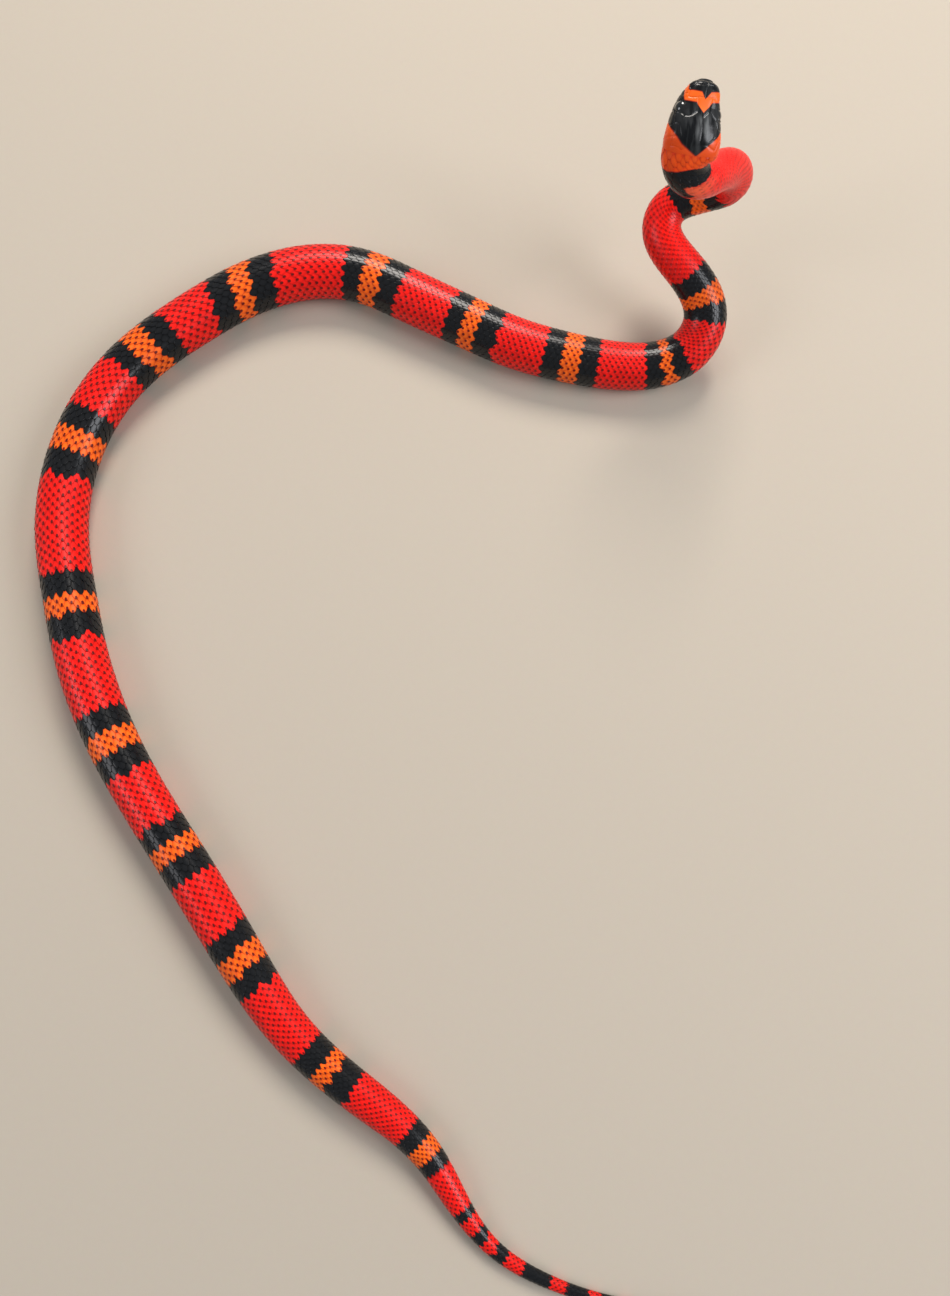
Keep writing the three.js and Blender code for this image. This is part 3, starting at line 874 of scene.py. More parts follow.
@dataclass(frozen=True)
class PaperFloor:
    """Matt pale paper sweep that the animal lies on for its picture: even, with a hardly visible tooth.

    Attributes:
        tooth: Width of the paper's tooth in millimetres, and how much it shows.
    """

    name: str = "matt_paper"
    colour: str = "B8AD9D"
    tooth: tuple[float, float] = (2.0, 0.02)
    roughness: float = 0.9

    def make(self) -> bpy.types.Material:
        """Builds the material."""
        material, tree, shader = new_material(self.name)
        width, shows = self.tooth
        place = add_node(tree, "ShaderNodeTexCoord", {}, "Object")
        fibres = {"Vector": place, "Scale": 1 / (width * MM), "Detail": 3.0}
        noise = add_node(tree, NOISE, fibres, "Color")
        colour = add_node(tree, MIX, {SHARE: shows, FIRST: linear(self.colour), SECOND: noise}, MIXED)
        tree.links.new(colour, shader.inputs["Base Color"])
        shader.inputs["Roughness"].default_value = self.roughness
        return material


def finish_piece(piece: bpy.types.Object, nodes: tuple[str, ...] = ()) -> None:
    """Puts a piece on the animal's one body and the solids that it stands for."""
    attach(piece, "root")
    if nodes:
        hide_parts(*nodes)
    LOG.info("%s: %d faces", piece.name, len(piece.data.polygons))


def link_object(name: str, mesh: bpy.types.Mesh, material: bpy.types.Material) -> bpy.types.Object:
    """Makes an object of a mesh, at the origin, in the scene."""
    mesh.materials.clear()
    mesh.materials.append(material)
    piece = bpy.data.objects.new(name, mesh)
    bpy.context.scene.collection.objects.link(piece)
    return piece


def set_pigment(mesh: bpy.types.Mesh, values: Array) -> None:
    """Stores each vertex's orange, black, paleness with painted crown sheen, and chance shade as pigment.
    """
    layer = mesh.color_attributes.new("pigment", "FLOAT_COLOR", "POINT")
    layer.data.foreach_set("color", values.astype(np.float32).ravel())


@dataclass(frozen=True)
class Unwrap:
    """Unwrap of the skin: the body laid out flat and cut into strips, one above the other, in a square.

    Attributes:
        scale: Millimetres to the whole width of the square.
        strip: Length of body in each strip.
        strips: Number of strips.
        margin: Free edge before the first column.
        patch: Size of the patch that each scale gets at its root's place.
    """

    scale: float = 260.0
    strip: float = 210.0
    strips: int = 4
    margin: float = 0.02
    patch: float = 0.003

    def place(self, s: Array, around: Array) -> Array:
        """Place of a point on the unwrap.

        Args:
            s: Distances from the snout.
            around: Distances over the surface from the middle of the back, positive to the left.

        Returns:
            One row of u, v for each point.
        """
        row = np.clip((s / self.strip).astype(int), 0, self.strips - 1)
        u = self.margin + (s - row * self.strip) / self.scale
        v = (row + 0.5) / self.strips + around / self.scale
        return np.stack([u, v], axis=-1)


def close_shell(bm: bmesh.types.BMesh) -> None:
    """Fills the open ends of a shell and turns its faces outwards."""
    bmesh.ops.holes_fill(bm, edges=[edge for edge in bm.edges if edge.is_boundary], sides=0)
    bmesh.ops.triangulate(bm, faces=[face for face in bm.faces if len(face.verts) > 4])
    bmesh.ops.recalc_face_normals(bm, faces=bm.faces)


def read_places(bm: bmesh.types.BMesh, first: Array, second: Array) -> tuple[Array, Array]:
    """Column and row values of a fresh grid's vertices.

    Args:
        bm: A bmesh that holds nothing but a grid of size 1.
        first: Values for the grid's columns, along X.
        second: Values for the grid's rows, along Y.

    Returns:
        The two values of each vertex.
    """
    spots = np.array([vertex.co[:2] for vertex in bm.verts])
    column = np.rint((spots[:, 0] + 1) / 2 * (len(first) - 1)).astype(int)
    row = np.rint((spots[:, 1] + 1) / 2 * (len(second) - 1)).astype(int)
    return first[column], second[row]


def roll_tube(
    body: Body, places: Array, shares: Array, lift: Callable[[Array, Array], Array]
) -> bmesh.types.BMesh:
    """Closed tube over the body, from a grid that is rolled round it.

    Args:
        body: The body's form.
        places: Distances from the snout of the rings.
        shares: Shares of the half girth round each ring, from -1 to 1.
        lift: Height over the body's surface at given places and shares.

    Returns:
        The bmesh, with each vertex's place and share kept in the layers s and f.
    """
    bm = bmesh.new()
    bmesh.ops.create_grid(bm, x_segments=len(places) - 1, y_segments=len(shares) - 1, size=1)
    s, f = read_places(bm, places, shares)
    spots = body.surface(s, f, lift(s, f)) * MM
    layer_s = bm.verts.layers.float.new("s")
    layer_f = bm.verts.layers.float.new("f")
    for vertex, spot, at, share in zip(bm.verts, spots, s, f):
        vertex.co = spot
        vertex[layer_s] = at
        vertex[layer_f] = share
    seam = [vertex for vertex in bm.verts if abs(vertex[layer_f]) > BELLY_LINE]
    bmesh.ops.remove_doubles(bm, verts=seam, dist=SEAM_WELD * MM)
    close_shell(bm)
    return bm


def take_attribute(mesh: bpy.types.Mesh, name: str) -> Array:
    """Reads a number from each vertex and drops the attribute from the mesh."""
    values = np.empty(len(mesh.vertices), np.float32)
    mesh.attributes[name].data.foreach_get("value", values)
    mesh.attributes.remove(mesh.attributes[name])
    return values.astype(float)


def loop_vertices(mesh: bpy.types.Mesh) -> Array:
    """Vertex number of each face corner."""
    corners = np.empty(len(mesh.loops), np.int32)
    mesh.loops.foreach_get("vertex_index", corners)
    return corners


def store_map(mesh: bpy.types.Mesh, name: str, corners: Array) -> None:
    """Adds a UV map from one row of u, v for each face corner."""
    mesh.uv_layers.new(name=name).uv.foreach_set("vector", corners.astype(np.float32).ravel())


def tube_map(mesh: bpy.types.Mesh, body: Body, unwrap: Unwrap, s: Array, f: Array) -> None:
    """Lays a rolled tube out on the unwrap, cut open along the middle of the belly."""
    corners = loop_vertices(mesh)
    share = f[corners]
    seam = np.abs(share) > BELLY_LINE
    starts = np.empty(len(mesh.polygons), np.int32)
    mesh.polygons.foreach_get("loop_start", starts)
    face = np.searchsorted(starts, np.arange(len(corners)), side="right") - 1
    side = np.zeros(len(mesh.polygons))
    np.add.at(side, face, np.where(seam, 0, share))
    share = np.where(seam, np.where(side[face] < 0, -1, 1), share)
    at = s[corners]
    store_map(mesh, "OFBake", unwrap.place(at, share * body.half_girth(at)))


def tube_piece(
    bm: bmesh.types.BMesh, name: str, body: Body, markings: Markings, material: bpy.types.Material
) -> bpy.types.Object:
    """Turns a rolled tube into an object with the markings and its unwrap."""
    mesh = bpy.data.meshes.new(name)
    bm.to_mesh(mesh)
    bm.free()
    mesh.shade_smooth()
    s, f = take_attribute(mesh, "s"), take_attribute(mesh, "f")
    orange, black = markings.tones(body, s, f)
    even = np.full_like(s, 0.5)
    # The third channel holds paleness and the crown's painted sheen.
    set_pigment(mesh, np.stack([orange, black, markings.pale(body, s, f), even], axis=-1))
    tube_map(mesh, body, Unwrap(), s, f)
    return link_object(name, mesh, material)


@dataclass
class Skin:
    """The one skin under the scales and shields, from the snout to the tail tip.

    Attributes:
        around: Facets round the body.
        start: Distance of the first ring from the snout.
        head_spacing: Distance between rings on the head and the loops of the neck.
        loops_end: Where the loops of the neck end.
        spacing: Distance between rings on the rest.
        tip_rings: Distances of the last rings from the very tip of the tail.
        tip_round: How far the last ring draws in, and over what length.
        depth_share: Depth under the solids' surface, as a share of the width.
        head_depth: Depth under the shields of the head, below the floor of the nostrils.
        snout_end: Where the full depth is reached behind the snout.
        nape: Where the head's depth passes into the body's.
    """

    body: Body
    markings: Markings
    around: int = 64
    start: float = 0.3
    head_spacing: float = 0.6
    loops_end: float = 170.0
    spacing: float = 1.3
    tip_rings: tuple[float, ...] = (0.8, 0.3, 0.1)
    tip_round: tuple[float, float] = (0.45, 0.4)
    depth_share: float = 0.027
    head_depth: float = 0.8
    snout_end: float = 2.0
    nape: tuple[float, float] = (18, 23)

    def depth(self, s: Array) -> Array:
        """How far the skin lies under the surface of the solids."""
        plain = self.depth_share * self.body.width_at(s)
        head = self.head_depth * (1 - smooth_step(s, *self.nape)) * smooth_step(s, 0, self.snout_end)
        deep, length = self.tip_round
        return np.maximum(plain, head) + deep * bump((self.body.length - s) / length)

    def build(self, material: bpy.types.Material) -> bpy.types.Object:
        """Builds the skin and paints the markings on it."""
        tip = self.body.length - np.array(self.tip_rings)
        near = np.arange(self.start, self.loops_end, self.head_spacing)
        far = np.arange(self.loops_end, tip[0] - self.tip_round[1], self.spacing)
        places = np.concatenate([near, far, tip])
        shares = np.linspace(-1, 1, self.around + 1)
        bm = roll_tube(self.body, places, shares, lambda s, f: -self.depth(s))
        return tube_piece(bm, "skin", self.body, self.markings, material)


@dataclass
class HeadShields:
    """The large plates of the head as one fine sleeve, with seams, mouth, nostrils and eye rims in relief.

    A line is a row of (distance from the snout, distance over the surface from the middle of the crown).
    Lines of the lips are (distance from the snout, distance below the mouth line, negative above it). Each
    tuple of relief starts with its height or depth, followed by its spread.

    Attributes:
        rings: Rings from the snout to the nape.
        crowding: Power that crowds the rings towards the snout.
        around: Facets round the head.
        start: Distance of the first ring from the snout.
        end: Where the sleeve ends, under the first scales.
        seam: Depth and spread of the seams between plates.
        shoulder: The plates' rounding beside a seam.
        askew: Where the crown's plates stop following the askew pattern, towards the eyes.
        mouth: Front and rear of the mouth line, each over the length in which it fades.
        lip_gap: The gap between the lips.
        lip_under: The groove under it: depth, spread, and distance below the mouth line.
        eye: Place of the eye.
        eye_opening: Radius of the opening round the eye.
        eye_rim: The raised rim: height, spread, and distance outside the opening.
        eye_cut: The step down inside it: depth, and where it begins and ends beside the opening's edge.
        brow: The plate that overhangs the eye: height, place and spread.
        cheek: The hollow before the eye, in the same way.
        nostril: The nostril, in the same way.
        snout_fade: Length from the snout in which the relief rises.
        tucks: Each depth to which the rear edge goes under the scales, and where it starts and ends,
            counted from the sleeve's end.
    """

    body: Body
    markings: Markings
    rings: int = 176
    crowding: float = 1.15
    around: int = 344
    start: float = 0.06
    end: float = 22.8
    seam: tuple[float, float] = (0.11, 0.15)
    shoulder: tuple[float, float] = (0.04, 0.5)
    askew: tuple[float, float] = (2.5, 6)
    mouth: tuple[tuple[float, float], tuple[float, float]] = ((0.4, 1.2), (19, 20))
    lip_gap: tuple[float, float] = (0.3, 0.2)
    lip_under: tuple[float, float, float] = (0.1, 0.6, 0.5)
    eye: tuple[float, float] = (11.6, 7.7)
    eye_opening: float = 1.2
    eye_rim: tuple[float, float, float] = (0.1, 0.22, 0.25)
    eye_cut: tuple[float, float, float] = (0.32, -0.12, 0.08)
    brow: tuple[float, ...] = (0.14, 11, 5.7, 2.2, 0.6)
    cheek: tuple[float, ...] = (-0.35, 6.6, 6.9, 2.6, 1.1)
    nostril: tuple[float, ...] = (-0.5, 2.5, 5.3, 0.42, 0.36)
    snout_fade: float = 0.6
    tucks: tuple[tuple[float, float, float], ...] = ((0.06, 3.5, 1.5), (0.3, 0.8, 0))
    crown_lines: tuple[Keys, ...] = (
        # rostral, internasals and their midline
        ((1.5, 0), (1.4, 1.4), (0.9, 2.6), (0.7, 4.2)),
        ((1.5, 0), (3.7, 0)),
        ((3.7, 0), (3.6, 1.9), (3.1, 3.5)),
        ((1.2, 2.2), (3.1, 3.5)),
        # prefrontals
        ((3.7, 0), (7.2, 0)),
        ((3.1, 3.5), (5.2, 4.7), (7.7, 5.0)),
        ((7.2, 0), (7.1, 2.2), (7.7, 5.0)),
        # frontal and the plates over the eyes
        ((7.1, 2.2), (11.4, 1.75), (13.5, 0)),
        ((7.7, 5.0), (9.6, 6.1), (13.1, 6.2), (13.5, 5.0)),
        ((11.4, 1.75), (12.6, 3.3), (13.5, 5.0)),
        # parietals
        ((13.5, 0), (20.2, 0)),
        ((13.5, 5.0), (16.0, 6.2), (18.7, 5.2), (20.4, 2.8), (20.2, 0)),
        # nasal, loreal and the plates before and behind the eye
        ((3.1, 3.5), (4.3, 5.2), (4.2, 7.2)),
        ((1.6, 5.0), (2.3, 5.2), (2.6, 7.0)),
        ((5.2, 4.7), (4.3, 5.2)),
        ((6.9, 5.0), (7.1, 7.3)),
        ((7.7, 5.0), (9.6, 7.2)),
        ((13.1, 6.2), (13.4, 8.2), (12.9, 9.8)),
        ((13.4, 8.0), (12.9, 8.1)),
        # temporals
        ((13.4, 8.2), (16.2, 7.9), (16.0, 6.2)),
        ((16.2, 7.9), (16.5, 10.0)),
        ((16.2, 7.9), (18.9, 7.6), (18.7, 5.2)),
        ((18.9, 7.6), (19.2, 9.8)),
        ((18.9, 7.6), (21.0, 7.0), (20.4, 2.8)),
    )
    lip_lines: tuple[Keys, ...] = (
        ((0.7, -1.9), (4.2, -2.1), (9.0, -2.5), (14.0, -2.8), (19.6, -2.4)),
        ((2.4, -2.1), (2.5, 0)),
        ((4.6, -2.2), (4.7, 0)),
        ((7.0, -2.4), (7.0, 0)),
        ((9.6, -2.5), (9.5, 0)),
        ((12.4, -2.7), (12.2, 0)),
        ((15.4, -2.8), (15.2, 0)),
        ((18.4, -2.5), (18.2, 0)),
        ((1.2, 1.6), (5.0, 2.2), (10.0, 2.7), (15.0, 3.0), (20.0, 2.6)),
        ((1.5, 0), (1.6, 1.7)),
        ((3.3, 0), (3.4, 1.9)),
        ((5.4, 0), (5.5, 2.2)),
        ((7.8, 0), (7.9, 2.5)),
        ((10.5, 0), (10.7, 2.7)),
        ((13.5, 0), (13.8, 2.9)),
        ((16.6, 0), (17.0, 2.9)),
        ((5.6, 2.2), (6.2, 5.0)),
        ((10.6, 2.7), (11.0, 6.0)),
    )

    @staticmethod
    def _distance(s: Array, across: Array, line: Keys) -> Array:
        """Least distance from each place to a line of straight pieces."""
        nearest = np.full_like(s, np.inf)
        for (s0, a0), (s1, a1) in zip(line, line[1:]):
            run, rise = s1 - s0, a1 - a0
            t = np.clip(((s - s0) * run + (across - a0) * rise) / (run * run + rise * rise), 0, 1)
            nearest = np.minimum(nearest, np.hypot(s - s0 - t * run, across - a0 - t * rise))
        return nearest

    def relief(self, s: Array, f: Array) -> Array:
        """Height of the plates over the surface of the solids."""
        signed = f * self.body.half_girth(s)
        across = np.abs(signed)
        below = self.body.from_mouth(s, f)
        nearest = np.full_like(s, np.inf)
        # the crown's plates follow the pattern's middle line, those round the eyes stay with the eyes
        askew = 1 - smooth_step(across, *self.askew)
        along, off = self.markings.head.place(s, signed)
        own_s, own_across = s + (along - s) * askew, np.abs(signed + (off - signed) * askew)
        for line in self.crown_lines:
            nearest = np.minimum(nearest, self._distance(own_s, own_across, line))
        for line in self.lip_lines:
            nearest = np.minimum(nearest, self._distance(s, below, line))
        height = np.zeros_like(s)
        for depth, spread in (self.seam, self.shoulder):
            height -= depth * bump(nearest / spread)
        height -= self._mouth_line(s, below)
        height += self._eye_socket(np.hypot(s - self.eye[0], across - self.eye[1]))
        for lift, at_s, at_across, long, wide in (self.brow, self.cheek, self.nostril):
            height += lift * bump((s - at_s) / long, (across - at_across) / wide)
        return height * smooth_step(s, 0, self.snout_fade)

    def _mouth_line(self, s: Array, below: Array) -> Array:
        """Depth of the gap between the lips and of the groove under it."""
        front, rear = self.mouth
        depth, spread = self.lip_gap
        groove, wide, under = self.lip_under
        gap = depth * bump(below / spread) + groove * bump((below - under) / wide)
        return smooth_step(s, *front) * (1 - smooth_step(s, *rear)) * gap

    def _eye_socket(self, from_eye: Array) -> Array:
        """Height of the rim round the eye, and the step down inside it, so that the eye's edge is clean."""
        rim, spread, outside = self.eye_rim
        depth, inner, outer = self.eye_cut
        inside = 1 - smooth_step(from_eye, self.eye_opening + inner, self.eye_opening + outer)
        return rim * bump((from_eye - self.eye_opening - outside) / spread) - depth * inside

    def build(self, material: bpy.types.Material) -> bpy.types.Object:
        """Builds the sleeve of shields."""
        places = self.start + (self.end - self.start) * np.linspace(0, 1, self.rings) ** self.crowding
        shares = np.linspace(-1, 1, self.around + 1)

        def lift(s: Array, f: Array) -> Array:
            """Relief of the plates, tucked under the first scales at the rear."""
            to_end = s - self.end
            tuck = sum(depth * smooth_step(to_end, -start, -stop) for depth, start, stop in self.tucks)
            return self.relief(s, f) - tuck

        bm = roll_tube(self.body, places, shares, lift)
        return tube_piece(bm, "head_shields", self.body, self.markings, material)


@dataclass(frozen=True)
class ScaleForm:
    """Form of one scale.

    Lengths along it are shares of its length, widths shares of its greatest half width, and heights shares
    of the pitch of its row.

    Attributes:
        across: Where the facets break across the scale.
        along: Where the facets break from root to tip.
        outline: Half width at places from root to tip.
        root: Height of the middle of the root.
        tip: Height of the middle of the tip.
        dome: How much lower the sides lie than the middle.
        thickness: Thickness at the rim.
        under: Width and length of the underside, as shares of the top's.
    """

    across: tuple[float, ...] = (-1, -0.8, 0, 0.8, 1)
    along: tuple[float, ...] = (0, 0.2, 0.42, 0.64, 0.82, 0.94, 1)
    outline: Keys = ((0, 0.55), (0.3, 0.9), (0.55, 1), (0.75, 0.8), (0.92, 0.42), (1, 0.14))
    root: float = -0.08
    tip: float = 0.002
    dome: float = 0.032
    thickness: float = 0.022
    under: tuple[float, float] = (0.9, 0.94)

    def prototype(self) -> tuple[Array, list[tuple[int, ...]]]:
        """Models one scale as a thin closed plate.

        Returns:
            Its vertices as across, along and up, and the vertex numbers of its faces.
        """
        bm = bmesh.new()
        bmesh.ops.create_grid(bm, x_segments=len(self.across) - 1, y_segments=len(self.along) - 1, size=1)
        u, v = read_places(bm, np.array(self.across, float), np.array(self.along, float))
        width = measure(self.outline, v)
        height = self.root + (self.tip - self.root) * v - self.dome * u * u * width
        for vertex, spot in zip(bm.verts, np.stack([u * width, v, height], axis=-1)):
            vertex.co = spot
        rim = [edge for edge in bm.edges if edge.is_boundary]
        walls = bmesh.ops.extrude_edge_only(bm, edges=rim)["geom"]
        lower = [part for part in walls if isinstance(part, bmesh.types.BMVert)]
        bmesh.ops.translate(bm, verts=lower, vec=(0, 0, -self.thickness))
        middle = Matrix.Translation((0, -0.5, 0))
        bmesh.ops.scale(bm, verts=lower, vec=(*self.under, 1), space=middle)
        close_shell(bm)
        vertices = np.array([vertex.co[:] for vertex in bm.verts])
        faces = [tuple(vertex.index for vertex in face.verts) for face in bm.faces]
        bm.free()
        return vertices, faces


@dataclass
class Rows:
    """Roots of a set of scales, one row in each array for each scale.

    Attributes:
        s: Distance of the root from the snout.
        f: Share of the half girth at the scale's middle line.
        half: Half width as a share of the half girth.
        length: Length of the scale.
        pitch: Distance to the next scale behind.
    """

    s: Array
    f: Array
    half: Array
    length: Array
    pitch: Array

    def pick(self, chosen: Array) -> "Rows":
        """The scales at which chosen is true, or those whose numbers it gives, in that order."""
        return Rows(*[getattr(self, field.name)[chosen] for field in fields(self)])

    @staticmethod
    def join(parts: list["Rows"]) -> "Rows":
        """All scales of several sets."""
        names = [field.name for field in fields(Rows)]
        return Rows(*[np.concatenate([getattr(part, name) for part in parts]) for name in names])


@dataclass
class Coat:
    """Everything laid in rows over the skin: the scales of the back and sides, and the plates of the belly.

    Attributes:
        seed: Start of the chance draws.
        pitch: Distance from one scale to the next along its row, at a distance from the snout.
        count_step: Step over which the pitches are counted.
        start: Distance of the first roots from the snout.
        nape_end: Where the head's pattern stops running on across the scales.
        bare_tip: Length of the tail's horny tip, which has no scales.
        vent: Where the belly plates turn from single to paired.
        zones: Distance from the snout at which a number of rows round the back begins.
        overlap: Length of a scale as a share of the pitch.
        spread: Half width of a scale as a share of the distance to the next row.
        flank_end: Share of the half girth at which the lowest row lies.
        flank_widening: How much wider than even the rows get towards the belly.
        belly_edge: Share of the half girth at which the belly plates begin.
        belly_stagger: Share of a pitch by which the belly plates lie behind the rows beside them.
        pair_overlap: Overlap of paired plates, as a share of the half girth.
        turn_chance: Spread of the scales' turn, in shares of their half width.
        size_chance: Spread of their size.
        lift_chance: Spread of the lift of their tips, in shares of the pitch.
        tone_place: Place along a scale at which it takes its tone, and its spread in pitches.
        cuts: Distances from the snout at which the scales are parted into pieces.
        names: Names of the pieces.
    """

    body: Body
    markings: Markings
    seed: int = 5
    pitch: Keys = (
        (20, 1.7), (60, 1.85), (100, 1.95), (165, 2.15), (215, 2.3), (255, 2.6), (303, 3.2), (345, 3.35),
        (450, 3.45), (506, 3.2), (600, 3.15), (643, 2.5), (690, 2.25), (722, 2.15), (740, 2), (767, 1.75),
        (820, 1.5),
    )
    count_step: float = 0.25
    start: float = 21.0
    nape_end: float = 33.0
    bare_tip: float = 4.0
    vent: float = 712.0
    zones: tuple[tuple[float, int], ...] = ((0, 21), (713, 15), (735, 11), (760, 9), (785, 7), (803, 5))
    overlap: float = 1.36
    spread: float = 0.79
    flank_end: float = 0.703
    flank_widening: Keys = ((200, 0.34), (450, 0.2))
    belly_edge: float = 0.745
    belly_stagger: float = 0.25
    pair_overlap: float = 0.012
    turn_chance: float = 0.03
    size_chance: float = 0.025
    lift_chance: float = 0.006
    tone_place: tuple[float, float] = (0.6, 0.07)
    cuts: tuple[float, ...] = (0, 36, 180, 330, 480, 640, 1000)
    names: tuple[str, ...] = ("neck_scales", *[f"trunk_scales_{i}" for i in range(1, 5)], "tail_scales")
    scale_form: ScaleForm = ScaleForm()
    belly_form: ScaleForm = ScaleForm(
        across=(-1, -0.97, -0.8, -0.6, -0.4, -0.2, 0, 0.2, 0.4, 0.6, 0.8, 0.97, 1),
        along=(0, 0.3, 0.6, 0.85, 0.97, 1),
        outline=((0, 0.97), (0.5, 1), (0.8, 0.98), (1, 0.88)),
        root=-0.08,
        tip=-0.01,
        dome=0.0,
        thickness=0.035,
    )

    def __post_init__(self) -> None:
        """Counts the pitches along the body, so that rows of different pitch lie without a gap."""
        self.random = np.random.default_rng(self.seed)
        self.run_s = np.arange(0, self.body.length, self.count_step)
        self.run_pitch = measure(self.pitch, self.run_s)
        rows = np.array([count for _, count in self.zones])
        zone = np.searchsorted([begin for begin, _ in self.zones], self.run_s, side="right") - 1
        self.run_rows = rows[zone]
        self.run_count = np.concatenate([[0], np.cumsum(self.count_step / self.run_pitch[:-1])])

    def _column(self, offset: float) -> tuple[Array, Array]:
        """Roots along one row, and the pitch at each."""
        first = math.ceil(np.interp(self.start, self.run_s, self.run_count) - offset)
        counts = np.arange(first, int(self.run_count[-1])) + offset
        s = np.interp(counts, self.run_count, self.run_s)
        s = s[s < self.body.length - self.bare_tip]
        return s, np.interp(s, self.run_s, self.run_pitch)

    def back_rows(self) -> Rows:
        """Roots of the scales of the back and the sides, every other row half a pitch farther back."""
        parts = []
        for count in sorted({rows for _, rows in self.zones}):
            side = (count - 1) // 2
            for k in range(-side, side + 1):
                s, pitch = self._column(0.5 * (abs(k) % 2))
                here = np.interp(s, self.run_s, self.run_rows) == count
                s, pitch = s[here], pitch[here]
                share = abs(k) / side
                wider = self.flank_end * measure(self.flank_widening, s)
                even = self.flank_end - wider
                f = math.copysign(1, k) * (even * share + wider * share**2)
                row = (even + 2 * wider * share) / side
                parts.append(Rows(s, f, row * self.spread, pitch * self.overlap, pitch))
        rows = Rows.join(parts)
        order = np.argsort(rows.s, kind="stable")
        return rows.pick(order)

    def belly_rows(self) -> Rows:
        """Roots of the wide belly plates, and of the paired ones behind the vent."""
        s, pitch = self._column(self.belly_stagger)
        middle = np.ones_like(s)
        length = pitch * self.overlap
        share = 1 - self.belly_edge
        wide = Rows(s, middle, middle * share, length, pitch).pick(s < self.vent)
        half = middle * (share / 2 + self.pair_overlap)
        side = middle * (self.belly_edge + share / 2)
        pairs = [Rows(s, f, half, length, pitch).pick(s >= self.vent) for f in (-side, side)]
        return Rows.join([wide, *pairs])

    def _lay(
        self, rows: Rows, form: ScaleForm, name: str, material: bpy.types.Material
    ) -> bpy.types.Object:
        """Lays one scale on each root and joins them to one mesh."""
        vertices, faces = form.prototype()
        count, each = len(rows.s), len(vertices)
        across, along, up = vertices.T[:, None, :]
        turn = self.random.normal(0, self.turn_chance, count)[:, None]
        grow = self.random.normal(1, self.size_chance, count)[:, None]
        lift = self.random.normal(0, self.lift_chance, count)[:, None]
        s = (rows.s[:, None] + along * rows.length[:, None] * grow).ravel()
        f = (rows.f[:, None] + (across * grow + turn * along) * rows.half[:, None]).ravel()
        height = ((up + lift * along) * rows.pitch[:, None]).ravel()
        spots = self.body.surface(s, f, height, follow_stretch=True) * MM
        mesh = bpy.data.meshes.new(name)
        sizes = np.array([len(face) for face in faces])
        corners = np.concatenate([np.array(face) for face in faces])
        number = np.arange(count)[:, None]
        all_corners = (corners + each * number).ravel()
        mesh.vertices.add(count * each)
        mesh.vertices.foreach_set("co", spots.astype(np.float32).ravel())
        mesh.loops.add(len(all_corners))
        mesh.loops.foreach_set("vertex_index", all_corners.astype(np.int32))
        mesh.polygons.add(count * len(faces))
        starts = np.concatenate([[0], np.cumsum(sizes)[:-1]])
        all_starts = (starts + len(corners) * number).ravel()
        mesh.polygons.foreach_set("loop_start", all_starts.astype(np.int32))
        mesh.update(calc_edges=True)
        mesh.shade_smooth()
        self._paint(mesh, rows, (s, f), vertices, corners)
        return link_object(name, mesh, material)

    def _paint(
        self, mesh: bpy.types.Mesh, rows: Rows, places: tuple[Array, Array], vertices: Array, corners: Array
    ) -> None:
        """Gives each scale its tones, its place on the unwrap and its own small map.

        Args:
            mesh: The joined mesh.
            rows: Roots of its scales.
            places: Distance from the snout and share of the half girth of each vertex.
            vertices: Vertices of one scale.
            corners: Vertex numbers of one scale's face corners.
        """
        count, each = len(rows.s), len(vertices)
        along, spread = self.tone_place
        middle = rows.s + along * rows.length + self.random.normal(0, spread, count) * rows.pitch
        orange, black = self.markings.tones(self.body, middle, rows.f)
        black = np.round(black)
        orange = np.where(black > 0, 0, orange)
        # Paleness, with the crown's painted sheen where it reaches the nape.
        pale = self.markings.pale(self.body, middle, rows.f)
        chance = self.random.random(count)
        pigment = np.repeat(np.stack([orange, black, pale, chance], axis=-1), each, axis=0)
        # behind the crown the pattern runs on across the scales
        near = np.repeat(rows.s < self.nape_end, each)
        if near.any():
            s, f = places[0][near], places[1][near]
            pigment[near, 0], pigment[near, 1] = self.markings.tones(self.body, s, f)
        set_pigment(mesh, pigment)
        strength = np.repeat(self.markings.spots(middle, rows.f), each).astype(np.float32)
        mesh.attributes.new("spots", "FLOAT", "POINT").data.foreach_set("value", strength)
        own = np.stack([(vertices[corners, 0] + 1) / 2, vertices[corners, 1]], axis=-1)
        store_map(mesh, "scale", np.tile(own, (count, 1)))
        unwrap = Unwrap()
        root = unwrap.place(rows.s, rows.f * self.body.half_girth(rows.s))
        patch = root[:, None, :] + (own[None, :, :] - 0.5) * unwrap.patch
        store_map(mesh, "OFBake", patch.reshape(-1, 2))

    def build(self, dotted: bpy.types.Material, plain: bpy.types.Material) -> list[bpy.types.Object]:
        """Lays the scales of the back in pieces of a workable size, and the belly plates.

        Args:
            dotted: Finish of the scales of the back.
            plain: Finish of the belly plates.

        Returns:
            The neck's scales first, then the trunk's and the tail's, and last the belly plates.
        """
        rows = self.back_rows()
        pieces = []
        for name, first, end in zip(self.names, self.cuts, self.cuts[1:]):
            chosen = rows.pick((rows.s >= first) & (rows.s < end))
            pieces.append(self._lay(chosen, self.scale_form, name, dotted))
        pieces.append(self._lay(self.belly_rows(), self.belly_form, "belly_plates", plain))
        return pieces


